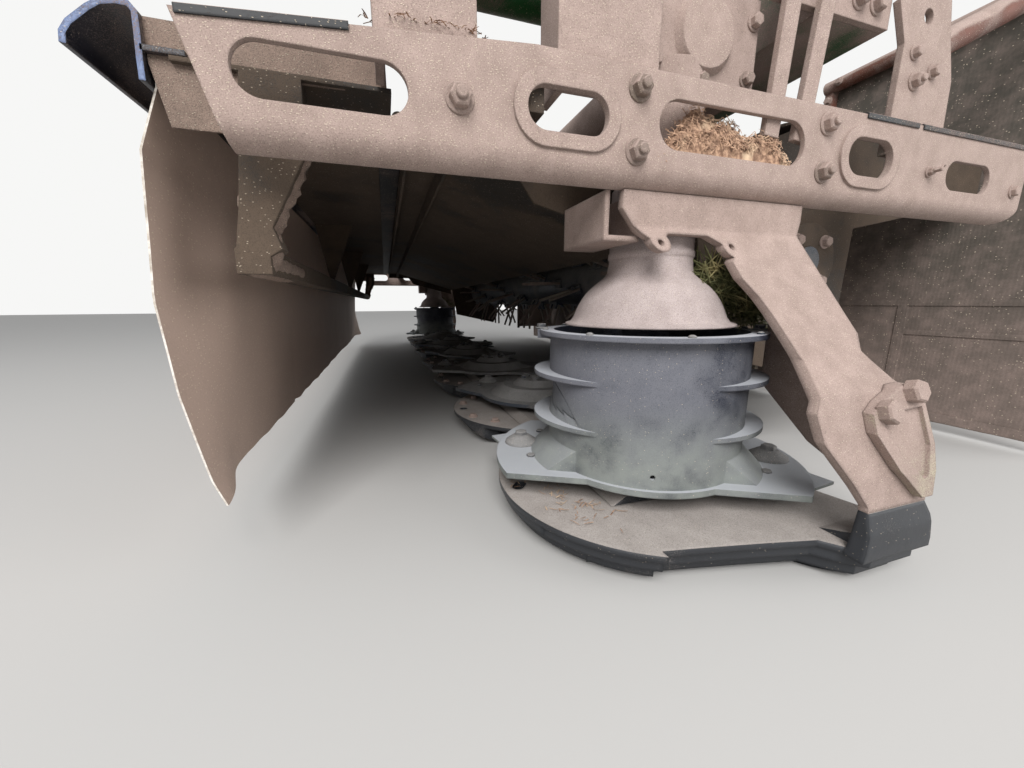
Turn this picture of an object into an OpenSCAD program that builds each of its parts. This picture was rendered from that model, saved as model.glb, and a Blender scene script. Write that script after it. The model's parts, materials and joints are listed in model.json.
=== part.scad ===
// Disc mower conditioner carried on the front of a tractor, 3 m cut, parked on its skids and stands.
// X runs along the cutterbar with the drive end at +X, the front is -Y, and the ground is Z = 0.

/* [Cutterbar] */
// Distance between neighbouring cutting discs
disc_pitch = 420; // [412:1:430]
// Height of the discs' underside above the ground
disc_z = 72; // [70:1:78]
// Thickness of a disc
disc_t = 8; // [6:1:10]
// Length of an oval disc from lobe to lobe
disc_len = 430; // [410:2:436]
// Width of an oval disc across its waist
disc_waist = 280; // [260:2:286]
// Width of a disc's lobe
lobe_w = 236; // [210:2:250]
// Angle of the end disc's long axis from the machine's long axis
disc_angle = 61.4; // [0:0.2:90]
// Height of the gear case
bar_h = 36; // [30:1:40]
// Depth of the gear case from front to back
bar_d = 190; // [170:2:210]
// Reach of the guards in front of the disc axes
guard_r = 210; // [204:1:214]
// Thickness of guard and skid plates
guard_t = 8; // [6:1:10]
// Free height of the guard plates above the ground
guard_z = 38; // [36:1:40]

/* [End drums] */
// Radius of the drum on the end discs
drum_r = 135; // [125:1:138]
// Wall of the drum
drum_t = 5; // [4:0.5:7]
// Height of the drum above its disc
drum_h = 182; // [170:1:186]
// Reach of the drum's rim beyond its wall
rim_w = 15; // [10:1:18]
// Reach of the crop fins beyond the drum's wall
fin_w = 23; // [14:1:25]
// Thickness of a crop fin
fin_t = 6; // [4:1:8]

/* [Side beams] */
// Distance from the end disc's axis to the beam's outer face
beam_out = 80; // [78:1:90]
// Height of the beam's underside above the ground
beam_z = 424; // [418:1:430]
// Height of the beam
beam_h = 112; // [105:1:118]
// Depth of the beam's rolled flange
beam_flange = 24; // [23:0.5:24.5]
// Wall of the beam
beam_t = 6; // [5:0.5:8]
// Radius of the beam's rolled lower edge
beam_r = 22; // [16:1:22]
// Front end of the beam from the disc axes
beam_front = -488; // [-492:1:-480]
// Rear end of the beam from the disc axes
beam_rear = 646; // [630:1:660]

/* [Conditioner] */
// Place of the rotor behind the disc axes
rotor_y = 345; // [340:1:352]
// Height of the rotor's axis
rotor_z = 367; // [363:1:371]
// Radius of the rotor tube
rotor_tube_r = 75; // [65:1:85]
// Radius swept by the tines' tips
tine_r = 203; // [195:1:204]
// Distance between tine pairs along the rotor
tine_pitch = 150; // [140:1:170]
// Gap from the tines' tips to the hood
hood_gap = 17; // [16:1:22]
// Thickness of sheet metal
sheet_t = 4; // [3:0.5:5]
// Rear edge of the conditioner hood
hood_rear = 830; // [820:1:834]

/* [Curtains] */
// Place of the front curtain ahead of the disc axes
curtain_front = -558; // [-564:1:-552]
// Height of the front curtain's hem
curtain_hem = 84; // [60:1:100]
// Place of the rear curtain behind the disc axes
curtain_rear = 865; // [862:1:875]
// Half width of the rear curtain
curtain_half = 1400; // [1380:1:1420]
// Thickness of a curtain
curtain_t = 5; // [4:1:6]

/* [Frame and headstock] */
// Side of the square cross tube
cross_w = 120; // [100:5:120]
// Place of the cross tube behind the disc axes
cross_y = 230; // [226:1:234]
// Height of the cross tube's axis
cross_z = 702; // [700:1:710]
// Radius of the side tubes of the frame
arm_r = 35; // [30:1:38]
// Place of the headstock behind the disc axes
head_y = 1060; // [1050:1:1080]
// Half distance between the shoulders of the lower hitch pins
hitch_half = 412.5; // [405:0.5:420]
// Height of the lower hitch points
hitch_z = 470; // [460:1:490]
// Height of the top hitch point above the lower ones
mast_h = 610; // [600:1:620]
// Radius of a lower hitch pin
hitch_pin_r = 14; // [12:0.5:16]
// Radius of the top hitch hole
top_bore_r = 12.9; // [10:0.1:14]
// Radius of the splined input shaft
input_r = 17.5; // [16:0.5:20]

/* [Hidden] */
// Distance of the part's middle behind the disc axes
row_y = -282;
end_x = 3 * disc_pitch;
beam_x = end_x + beam_out;
beam_top = beam_z + beam_h;
wall_x = end_x - 60;
clear = 0.3;
drum_top = disc_z + disc_t + drum_h;
bell_z = drum_top + 6;
knife_z = disc_z - 6;
hub_z = disc_z - clear;
case_z = 20;
case_top = case_z + bar_h;
drive_y = 22;
drive_z = 602;
hood_r = tine_r + hood_gap;
lip_angle = 173;
hinge_y = -322;
roof_z = beam_z + 78;
hinge_z = roof_z + sheet_t + 8 + clear;
green = [0.08, 0.36, 0.14];
dust = [0.50, 0.42, 0.36];
steel = [0.20, 0.22, 0.27];
bare = [0.45, 0.44, 0.42];
black = [0.07, 0.07, 0.08];
cloth = [0.38, 0.37, 0.35];
rust = [0.36, 0.20, 0.14];
$fn = 96;

// Helpers: a profile in the Y-Z plane runs along X, one in the X-Z plane runs along Y
module along_x(x, w) translate([x, 0, 0]) rotate([90, 0, 90]) linear_extrude(w) children();
module along_y(y, w) translate([0, y + w, 0]) rotate([90, 0, 0]) linear_extrude(w) children();
module side(s) mirror([s < 0 ? 1 : 0, 0, 0]) children();
module placed() translate([0, row_y, 0]) children();

module oblong(l, h) {
  square([l - h, h], center = true);
  translate([(l - h) / 2, 0]) circle(h / 2);
  translate([(h - l) / 2, 0]) circle(h / 2);
}

module tube_x(x, l, y, z, r, t) translate([x, y, z]) rotate([0, 90, 0]) difference() {
  cylinder(h = l, r = r);
  translate([0, 0, -1]) cylinder(h = l + 2, r = r - t);
}

module rod(a, b, r) {
  d = b - a;
  l = norm(d);
  translate(a) rotate([0, acos(d[2] / l), atan2(d[1], d[0])]) cylinder(h = l, r = r);
}

function disc_x(i) = end_x - (i - 1) * disc_pitch;
function disc_turn(i) = i % 2 == 1 ? disc_angle : 90 - disc_angle;

// Cutterbar: flat gear case with a bearing cap under each disc
module cutterbar() color(steel) {
  along_x(clear - end_x - shoe_in, 2 * (end_x + shoe_in - clear)) polygon([[-bar_d / 2, case_z + 12],
    [20 - bar_d / 2, case_z], [bar_d / 2 + 14, case_z], [bar_d / 2 + 30, case_z + 10],
    [bar_d / 2 + 30, case_top - 10], [bar_d / 2 + 14, case_top], [20 - bar_d / 2, case_top], [-bar_d / 2, case_top - 12]]);
  for (i = [1 : 7]) translate([disc_x(i), 0, case_top]) {
    cylinder(h = hub_z - case_top, r = 40);
    cylinder(h = 8, r = 74);
  }
}

// Guards: scalloped stone guards between the discs, each with its skid under the gear case
guard_x = [for (i = [2 : 6]) disc_x(i)];
module guard_plan(r) intersection() {
  circle(r);
  translate([-disc_pitch / 2 + 6, -r - 10]) square([disc_pitch - 12, r + 10 - bar_d / 2 - clear]);
}
module skid(w) along_x(-w / 2, w) polygon([[-guard_r + 6, guard_z], [-guard_r + 22, guard_z - 14], [-150, 8],
  [-130, 0], [60, 0], [110, 10], [bar_d / 2 + 26, 15],
  [bar_d / 2 + 26, 20], [106, 20 - clear], [60, 20 - clear],
  [-126, 20 - clear], [-150, guard_z]]);
module guard() {
  difference() {
    translate([0, 0, guard_z]) linear_extrude(guard_t) guard_plan(guard_r);
    translate([-15, -186, 0]) cylinder(h = 60, r = 9);
  }
  intersection() {
    skid(250);
    translate([0, 0, -1]) cylinder(h = 60, r = guard_r);
  }
}
module guards() color(steel) for (x = guard_x) translate([x, 0, 0]) guard();

// End shoe: wide rounded guard that carries the leg's foot at its outer corner, over a deep runner
shoe_x = 252;
shoe_in = 84;
boss_z = 88;
boss_y = [96, 196];
module shoe_plan(inset) {
  intersection() {
    circle(guard_r + 2 - inset);
    translate([-disc_pitch / 2 + 6, -260]) square([400, 260 - bar_d / 2 - clear]);
  }
  polygon([[shoe_in, -bar_d / 2 - clear], [84 + 40, -170 + inset], [153 - inset, -146 + inset], [176 - inset, -112],
    [188 - inset, -50], [202 - inset, 17], [216 - inset, 78], [238 - inset, boss_y[0]], [shoe_x - inset, boss_y[0] + 18],
    [shoe_x - inset, boss_y[1] - 8 - inset], [shoe_x - 8 - inset, boss_y[1] - inset], [200, 208 - inset],
    [shoe_in, 180]]);
}
// The boss at the shoe's rear outer corner stands up to the leg's foot
module shoe_boss() {
  intersection() {
    along_x(shoe_x - 18, 18) polygon([[boss_y[0] - 6, guard_z], [boss_y[0], 62], [boss_y[0] + 4, boss_z],
      [boss_y[1] - 6, boss_z], [boss_y[1], boss_z - 14], [boss_y[1], guard_z]]);
    along_y(boss_y[0] - 10, 120) polygon([[shoe_x - 18, guard_z], [shoe_x - 18, boss_z + 1], [shoe_x - 9, boss_z + 1],
      [shoe_x - 2, 66], [shoe_x, 48], [shoe_x, guard_z]]);
  }
  along_y(boss_y[0] + 8, boss_y[1] - boss_y[0] - 8) polygon([[196, guard_z + guard_t - 1], [shoe_x - 17, 60],
    [shoe_x - 17, guard_z + guard_t - 1]]);
}
module end_shoe() color(steel) translate([end_x, 0, 0]) difference() {
  union() {
    translate([0, 0, guard_z]) linear_extrude(guard_t) shoe_plan(0);
    translate([0, 0, guard_z - 14]) linear_extrude(14) shoe_plan(6);
    translate([0, 0, 8]) linear_extrude(guard_z - 22) shoe_plan(18);
    linear_extrude(8) shoe_plan(34);
    shoe_boss();
    intersection() {
      translate([-20, 0, 0]) skid(2 * shoe_in + 40);
      translate([0, 0, -1]) cylinder(h = 60, r = guard_r);
    }
  }
  translate([-8, -188, -1]) rotate([0, 0, -40]) linear_extrude(60) oblong(26, 16);
}

// Discs: oval plate with rounded lobes, a domed hub on the inner ones and a finned drum on the end ones
module disc_outline() {
  circle(disc_waist / 2);
  intersection() {
    circle(disc_len / 2);
    square([disc_len, lobe_w], center = true);
  }
}
knife_pin = 180;
module knife() translate([knife_pin, 0, 0]) {
  translate([0, 0, knife_z - 6]) cylinder(h = 6 + disc_z + disc_t - knife_z + 5, r = 10);
  rotate([0, 0, -55]) difference() {
    translate([-22, -22, knife_z]) cube([96, 44, 4]);
    translate([60, -22, knife_z - 1]) rotate([0, 0, -30]) translate([0, -40, 0]) cube([60, 40, 8]);
  }
}
module disc_plate() {
  translate([0, 0, disc_z]) linear_extrude(disc_t) disc_outline();
  for (a = [0, 180]) rotate([0, 0, a]) knife();
}
module drum_fin() difference() {
  translate([37, 0, 0]) cylinder(h = fin_t, r = drum_r + fin_w - 37);
  translate([0, 0, -1]) cylinder(h = fin_t + 2, r = drum_r - 2);
}
module end_disc() {
  disc_plate();
  translate([0, 0, disc_z + disc_t]) difference() {
    union() {
      cylinder(h = drum_h, r = drum_r);
      intersection() {
        cylinder(h = 30, r1 = drum_r + 27, r2 = drum_r - 1);
        translate([-180, -100, 0]) cube([360, 200, 40]);
      }
      translate([0, 0, drum_h - 6]) cylinder(h = 6, r = drum_r + rim_w);
      for (a = [0, 180]) rotate([0, 0, a]) translate([drum_r - 3, -16, drum_h - 13]) cube([21, 32, 12]);
    }
    translate([0, 0, -1]) cylinder(h = drum_h + 2, r = drum_r - drum_t);
    rotate([0, 0, -90]) translate([0, 0, 16]) rotate([0, 90, 0]) cylinder(h = 200, r = 3);
  }
  translate([0, 0, disc_z + disc_t - 1]) cylinder(h = bell_z - clear - disc_z - disc_t + 1, r = 32);
  for (a = [0, 180], z = [136, 199]) rotate([0, 0, a]) translate([0, 0, z]) drum_fin();
}
module inner_disc() {
  disc_plate();
  translate([0, 0, disc_z + disc_t]) {
    cylinder(h = 20, r1 = 116, r2 = 84);
    translate([0, 0, 20]) cylinder(h = 14, r1 = 60, r2 = 44);
  }
  for (a = [0, 180]) rotate([0, 0, a]) intersection() {
    translate([40, 0, 42]) rotate([0, 96, 0]) cylinder(h = 142, r1 = 62, r2 = 46);
    translate([0, -80, disc_z + 2]) cube([210, 160, 60]);
  }
}
module disc(i) color(steel) translate([disc_x(i), 0, 0]) rotate([0, 0, disc_turn(i)]) {
  if (i == 1 || i == 7) end_disc();
  else inner_disc();
}

// Leg: plate under the beam with two ears, bent outward and down to its foot on the end shoe
leg_x = beam_x - 15;
leg_line = [[leg_x, beam_z - clear], [leg_x, 386], [end_x + 143, 282], [end_x + 174, 242], [end_x + 212, 206],
  [end_x + 238, 120], [end_x + 243, boss_z + clear]];
module leg_strip() along_y(-110, 360) polygon(concat(leg_line,
  [for (i = [len(leg_line) - 1 : -1 : 0]) leg_line[i] - [9, i > 0 && i < len(leg_line) - 1 ? 5 : 0]]));
module leg_outline() difference() {
  union() {
    polygon([[-88, beam_z + 10], [-90, 404], [-66, 376], [-50, 364], [-30, 378], [28, 378], [50, 364], [60, 358],
      [46, 346], [47, 326], [58, 304], [63, 285], [66, 262], [68, 238], [56, 214], [43, 190], [48, 162],
      [74, 128], [boss_y[0] + 4, 94], [boss_y[0] + 4, 40], [boss_y[1] - 6, 40], [boss_y[1] - 4, 100], [198, 150],
      [193, 196], [176, 215], [170, 232], [167, 244], [180, 262], [182, 380], [186, 404], [186, beam_z + 10]]);
    translate([-46, 368]) circle(13);
    translate([57, 364]) circle(13);
  }
  translate([-46, 366]) circle(4);
  translate([57, 365]) circle(4);
}
// The box that stiffens the leg's plate is open outward and stands clear of the bell's neck
box_y = [-107, -60];
box_z = 370;
module leg_box() translate([wall_x + 10, box_y[0], box_z]) difference() {
  cube([leg_x - 9 - wall_x - 10, box_y[1] - box_y[0], beam_z - clear - box_z]);
  translate([6, 6, 6]) cube([200, box_y[1] - box_y[0] - 12, 100]);
}
module leg() color(dust) {
  intersection() {
    leg_strip();
    along_x(end_x, 300) leg_outline();
  }
  leg_box();
  along_y(158, 8) polygon([[leg_x - 5, 350], [leg_x - 5, 186], [end_x + 136, 122], [end_x + 196, 94],
    [end_x + 234, 94], [end_x + 232, 122], [end_x + 206, 204], [end_x + 168, 240], [end_x + 138, 280],
    [leg_x - 4, 382]]);
}

// Foot bracket, a pressed triangle with a raised rim, bolted over the leg's lower bend
foot_line = [[end_x + 174, 242], [end_x + 212, 206], [end_x + 238, 120], [end_x + 242.2, 94]];
module foot_layer(a, b) along_y(80, 130) polygon(concat([for (p = foot_line) p + [b, b * 0.55]],
  [for (i = [len(foot_line) - 1 : -1 : 0]) foot_line[i] + [a, a]]));
module foot_bracket() color(bare) difference() {
  intersection() {
    foot_layer(clear, 9);
    along_x(end_x, 300) polygon([[107, 188], [121, 198], [154, 212], [174, 213], [190, 199], [195, 151], [184, 100],
      [177, 95], [168, 98], [134, 130], [108, 168]]);
  }
  intersection() {
    foot_layer(5, 14);
    along_x(end_x, 300) polygon([[121, 176], [150, 188], [184, 190], [187, 150], [176, 120], [170, 118], [143, 142]]);
  }
}

// Bell: drive housing that flares over the drum's open top
module bell_profile() {
  translate([0, bell_z]) square([55, beam_z + 20 - bell_z]);
  translate([0, bell_z]) square([54, 62]);
  intersection() {
    translate([50, bell_z + 4]) circle(60);
    translate([0, bell_z]) square([120, 80]);
  }
  translate([0, bell_z]) square([114, 4]);
}
module bell() color(dust) translate([end_x, 0, 0]) rotate_extrude() bell_profile();

// Side beam: channel with a rolled lower edge, five slots and a sloping nose
beam_slots = [
  // middle from the disc axes, height above the beam's underside, length, height, collar
  [-387, 56, 134, 42, 0],
  [-166, 60, 88, 40, 14],
  [48, 64, 214, 50, 0],
  [274, 61, 86, 46, 14],
  [497, 56, 108, 40, 0],
];
module beam_section() difference() {
  intersection() {
    union() {
      translate([-beam_flange, beam_r]) square([beam_flange, beam_h - beam_r]);
      translate([-beam_flange, 0]) square([beam_flange - beam_r, beam_r + 1]);
      translate([-beam_r, beam_r]) circle(beam_r);
    }
    translate([-beam_flange, 0]) square([beam_flange, beam_h]);
  }
  translate([-beam_flange - 1, beam_r]) square([beam_flange + 1 - beam_t, beam_h]);
  translate([-beam_flange - 1, beam_t]) square([beam_flange + 1 - beam_r, beam_h]);
  translate([-beam_r, beam_r]) circle(beam_r - beam_t);
}
module beam_outline() {
  polygon([[beam_front + 25, beam_z], [beam_rear - 26, beam_z], [beam_rear - 26, beam_z + 10],
    [beam_rear, beam_z + 26], [beam_rear, beam_top], [-200, beam_top], [beam_front, beam_top - 24]]);
  translate([beam_rear - 26, beam_z + 26]) circle(26);
}
module side_beam() color(dust) difference() {
  union() {
    intersection() {
      translate([beam_x, 0, beam_z]) along_y(beam_front - 10, beam_rear - beam_front + 20) beam_section();
      along_x(beam_x - 100, 120) beam_outline();
    }
    for (s = beam_slots) if (s[4] > 0) translate([0, s[0], beam_z + s[1]]) along_x(beam_x - 1, 4)
      oblong(s[2] + 2 * s[4], s[3] + 2 * s[4]);
  }
  for (s = beam_slots) translate([0, s[0], beam_z + s[1]]) along_x(beam_x - 20, 30) oblong(s[2], s[3]);
}

// End gearbox: bevel case over the drum with a raised round cap on its outer face
box_x = end_x - 44;
module gearbox_end() color(dust) {
  translate([end_x, 0, beam_z + 20 + clear]) cylinder(h = 130, r = 52);
  along_x(box_x, 80) {
    translate([drive_y - 74, drive_z - 52]) square([148, 96]);
    translate([drive_y, drive_z + 30]) circle(66);
  }
  along_x(box_x + 80, 6) {
    translate([drive_y - 80, drive_z - 58]) square([160, 108]);
    translate([drive_y, drive_z + 30]) circle(74);
  }
  translate([box_x + 86, drive_y, drive_z]) rotate([0, 90, 0]) cylinder(h = 9, r1 = 42, r2 = 36);
  translate([box_x - 26, drive_y, drive_z]) rotate([0, 90, 0]) cylinder(h = 26, r = 46);
}

// Transfer gearbox in the middle with the two cross shafts in their tubes and the input boss on top
input_z = drive_z + 228;
module center_gearbox() color(dust) {
  along_y(drive_y - 62, 124) {
    translate([0, drive_z]) circle(88);
    translate([0, input_z]) circle(78);
    translate([-70, drive_z]) square([140, input_z - drive_z]);
  }
  translate([0, drive_y + 62, input_z]) rotate([-90, 0, 0]) cylinder(h = 46, r = 52);
  translate([-60, drive_y + 50, cross_z - 40]) cube([120, cross_y - cross_w / 2 - drive_y - 50 - clear, 84]);
  for (s = [-1, 1]) side(s) tube_x(80, box_x - 26 - clear - 80, drive_y, drive_z, 36, 6);
}
shaft_y = drive_y + 62 + 46 + clear;
module input_shaft() color(bare) translate([0, shaft_y, input_z]) rotate([-90, 0, 0]) {
  cylinder(h = 20, r = 26);
  cylinder(h = 96, r = input_r);
}

spring_x = 340;
spring_front = [cross_y + 30, cross_z + 108];
link_z = hitch_z + 480;
tower_x = 96;
// Main frame: square cross tube on end plates, side tubes forward to brackets on the beams
arm_x = end_x - 90;
arm_z = 702;
module frame_post(y, w) translate([beam_x - 52, y, beam_top - 30]) difference() {
  cube([46 - clear, w, arm_z - beam_top + 60]);
  translate([-1, 8, -1]) cube([40, w - 16, 300]);
}
module frame_half() {
  translate([arm_x, -330, arm_z]) rotate([-90, 0, 0]) difference() {
    cylinder(h = 330 + cross_y - cross_w / 2, r = arm_r);
    translate([0, 0, -1]) cylinder(h = 200, r = arm_r - 5);
  }
}
module post_half() {
  frame_post(-346, 90);
  frame_post(-176, 116);
  for (y = [-301, -118]) translate([arm_x + arm_r + clear, y - 24, arm_z - 24])
    cube([beam_x - 48 - arm_x - arm_r - clear, 48, 48]);
  translate([beam_x - 14, 96, beam_top - 40]) rotate([-4, 0, 0]) cube([8 - clear, 22, 240]);
  translate([beam_x - 14, 144, beam_top - 40]) rotate([-6, 0, 0]) cube([8 - clear, 22, 240]);
  translate([beam_x - 22, 96, cross_z - 60]) cube([8, 194, 120]);
}
module main_frame() {
  color(green) {
    difference() {
      translate([-beam_x + 22, cross_y - cross_w / 2, cross_z - cross_w / 2])
        cube([2 * beam_x - 44, cross_w, cross_w]);
      translate([-beam_x, cross_y - cross_w / 2 + 8, cross_z - cross_w / 2 + 8])
        cube([2 * beam_x, cross_w - 16, cross_w - 16]);
    }
    for (s = [-1, 1]) side(s) frame_half();
    for (x = [-spring_x, spring_x], dx = [-24, 14]) along_x(x + dx, 10) difference() {
      polygon([[cross_y - 30, cross_z + cross_w / 2 - 2], [cross_y + 10, cross_z + 130], [cross_y + 56, cross_z + 130],
        [cross_y + 50, cross_z + cross_w / 2 - 2]]);
      translate([spring_front[0], spring_front[1]]) circle(8);
    }
    for (x = [-tower_x - 10, tower_x]) along_x(x, 10) difference() {
      polygon([[cross_y - 50, cross_z + cross_w / 2 - 2], [cross_y - 10, link_z + 30], [cross_y + 40, link_z + 30],
        [cross_y + 50, cross_z + cross_w / 2 - 2]]);
      translate([cross_y + 15, link_z]) circle(12 + clear);
    }
  }
}
module frame_posts() color(dust) for (s = [-1, 1]) side(s) post_half();

// Cutter hood: roof over the discs that slopes down to the lip in front of the rotor, with ribs under it
lip_y = rotor_y + hood_r * cos(lip_angle);
lip_z = rotor_z + hood_r * sin(lip_angle);
module cutter_hood() color(dust) {
  along_x(-wall_x, 2 * wall_x) polygon([[hinge_y, roof_z], [-252, roof_z], [lip_y - 8, lip_z],
    [lip_y - 8, lip_z + sheet_t], [-252, roof_z + sheet_t], [hinge_y, roof_z + sheet_t]]);
  for (y = [-316, -262]) along_x(-wall_x, 2 * wall_x) translate([y, roof_z - 26]) square([sheet_t, 27]);
  for (s = [-1, 1]) side(s) along_x(wall_x, sheet_t) polygon([[hinge_y + 8, roof_z - 30], [-180, roof_z - 30],
    [-150, roof_z - 70], [lip_y - 8, lip_z - 30], [lip_y - 8, roof_z + sheet_t], [hinge_y + 8, roof_z + sheet_t]]);
  for (s = [-1, 1]) side(s) translate([wall_x, -250, roof_z - 20]) cube([beam_x - beam_t - clear - wall_x, 60, 24]);
}

// Front guard: hinged nose panel with its blunt channel, the bent side brackets and the rail behind the curtain
nose_y = curtain_front - 2;
rail_y = -468;
rail_z = 342;
guard_half = wall_x + 84;
gusset_x = guard_half / 2 - 82;
hinge_x = wall_x - 300;
module guard_bracket() along_x(guard_half - 28, 28) {
  polygon([[-462, roof_z], [-412, roof_z], [-414, 440], [-450, 372], [-444, 352], [-478, 330], [-484, 346], [-476, 390]]);
}
module front_guard() {
  color(dust) {
    along_x(-guard_half, 2 * guard_half) polygon([[nose_y + 48, roof_z], [hinge_y - 10, roof_z],
      [hinge_y - 10, roof_z + sheet_t], [nose_y + 48, roof_z + sheet_t]]);
    translate([-guard_half, rail_y - 17, rail_z - 14]) cube([2 * guard_half, 30, 24]);
    for (s = [-1, 1]) side(s) guard_bracket();
    for (s = [-1, 0, 1]) along_x(s * gusset_x - 4, 6)
      polygon([[-484, 346], [-420, roof_z + 1], [nose_y + 48, roof_z + 1]]);
  }
  color(dust) translate([-wall_x, hinge_y, hinge_z]) rotate([0, 90, 0]) cylinder(h = 2 * wall_x, r = 8);
  color(dust) for (x = [-hinge_x, 0, hinge_x]) translate([x - 30, hinge_y - 16, roof_z + sheet_t - 1])
    cube([60, 14, hinge_z - roof_z]);
}
module nose_channel() {
  color(black) along_x(-guard_half, 2 * guard_half) difference() {
    union() {
      translate([nose_y, roof_z - 60]) square([48 - clear, 78]);
      translate([nose_y + 2, roof_z - 20]) circle(24);
    }
    translate([nose_y + 8, roof_z - 62]) square([60, 56]);
    translate([nose_y + 2, roof_z - 20]) circle(19);
  }
}
curtain_top = roof_z - 6 - clear;
// The sheet hangs in the channel and leans forward towards its hem
module front_curtain() color(dust) along_x(-end_x - 10, 2 * end_x + 20) polygon([[curtain_front - 2, curtain_hem],
  [curtain_front - 2 + curtain_t, curtain_hem], [curtain_front + 31 + curtain_t, curtain_top],
  [curtain_front + 31, curtain_top]]);

// Conditioner hood: sheet wrapped over the rotor, roof to the rear and side walls that carry its bearings
module conditioner_hood() {
  color(dust) along_x(-wall_x, 2 * wall_x) {
    difference() {
      translate([rotor_y, rotor_z]) circle(hood_r + sheet_t);
      translate([rotor_y, rotor_z]) circle(hood_r);
      translate([rotor_y - 400, rotor_z - 400]) square([800, 400 + hood_r * sin(lip_angle)]);
      translate([rotor_y, rotor_z - 400]) square([400, 800]);
    }
    polygon([[rotor_y - 1, rotor_z + hood_r], [hood_rear, rotor_z + hood_r - 20],
      [hood_rear, rotor_z + hood_r - 20 + sheet_t], [rotor_y - 1, rotor_z + hood_r + sheet_t]]);
  }
  color(dust) for (s = [-1, 1]) side(s) along_x(wall_x, 6) difference() {
    polygon([[158, 214], [440, 150], [470, 200], [478, 430], [hood_rear, 500], [hood_rear, rotor_z + hood_r - 20],
      [rotor_y, rotor_z + hood_r + sheet_t], [170, 520], [lip_y, 400]]);
    translate([rotor_y, rotor_z]) circle(30);
  }
  color(bare) for (s = [-1, 1]) side(s) translate([wall_x + 6, rotor_y, rotor_z]) rotate([0, 90, 0]) difference() {
    cylinder(h = 22, r = 62);
    translate([0, 0, -1]) cylinder(h = 30, r = 24 + clear);
  }
}

// Rotor: tube on its shaft, and pairs of straight tines bolted on it in a spiral of rows
tine_rows = 5;
tine_count = floor((2 * wall_x - 140) / tine_pitch);
tine_foot = rotor_tube_r + 1.3;
module rotor_tube() {
  color(steel) translate([-wall_x + 16, rotor_y, rotor_z]) rotate([0, 90, 0])
    cylinder(h = 2 * wall_x - 32, r = rotor_tube_r);
  color(bare) translate([-wall_x - 30, rotor_y, rotor_z]) rotate([0, 90, 0]) cylinder(h = 2 * wall_x + 60, r = 24);
}
module tine_pair() for (a = [-1, 1]) translate([a * 22, 0, 0]) rotate([0, a * 6, 0])
  translate([-5, -4, tine_foot]) cube([10, 8, tine_r - 2 - tine_foot]);
module rotor_tines() color(steel) for (i = [0 : tine_count - 1], k = [0 : tine_rows - 1])
  translate([(i - (tine_count - 1) / 2) * tine_pitch + (k - 2) * tine_pitch / tine_rows, rotor_y, rotor_z])
    rotate([k * 360 / tine_rows + i * 18, 0, 0]) tine_pair();

// Swath boards: doors under the roof behind the rotor that narrow the swath
board_y = rotor_y + tine_r + 14;
board_x = wall_x - 250;
board_l = hood_rear - 10 - board_y;
board_top = rotor_z + hood_r - 20 * (board_y + 9 - rotor_y) / (hood_rear - rotor_y) - 2 * clear;
module swath_board() color(dust) {
  translate([board_x, board_y, 120]) cylinder(h = board_top - 120, r = 9);
  translate([board_x - 3, board_y, 130]) cube([5, board_l, board_top - 170]);
  translate([board_x - 12, board_y + 14, 290]) cube([12, board_l - 24, 24]);
}

// Rear guard frame: bent arms from plates on the beams up to the rails that carry the rear curtain
rail_top = 880;
centre_half = 860;
centre_top = rotor_z + hood_r - 15;
rail_y2 = curtain_rear - 14 - 16;
module rear_plate() color(bare) {
  along_x(beam_x - beam_t - 8 - clear, 8) difference() {
    polygon([[312, beam_top - 40], [430, beam_top - 40], [424, 600], [404, 650], [392, 690], [330, 700], [292, 672],
      [314, 628]]);
    translate([352, 664]) circle(9);
    translate([345, 588]) circle(6);
  }
}
module rear_guard_frame() color(rust) {
  for (s = [-1, 1]) side(s) {
    rod([beam_x - beam_t - 25.5 - 2 * clear, 384, 634], [curtain_half - 91.5, rail_y2, rail_top - 18], 17);
    tube_x(centre_half, curtain_half - centre_half, rail_y2, rail_top - 18, 16, 4);
    translate([centre_half, hood_rear + clear, centre_top - 22])
      cube([20, curtain_rear - 14 - hood_rear - clear, rail_top - centre_top + 14]);
  }
  translate([-centre_half, hood_rear + clear, centre_top - 22])
    cube([2 * centre_half, curtain_rear - 14 - hood_rear - clear, 20]);
}
module rear_curtain() color(cloth) {
  translate([-centre_half, curtain_rear - 14 + clear, 20]) cube([2 * centre_half, curtain_t, centre_top - 24]);
  for (s = [-1, 1]) side(s) translate([centre_half, curtain_rear - 14 + clear, 20])
    cube([curtain_half - centre_half, curtain_t, rail_top - 22]);
}

lower_z = cross_z - 22;
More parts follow.
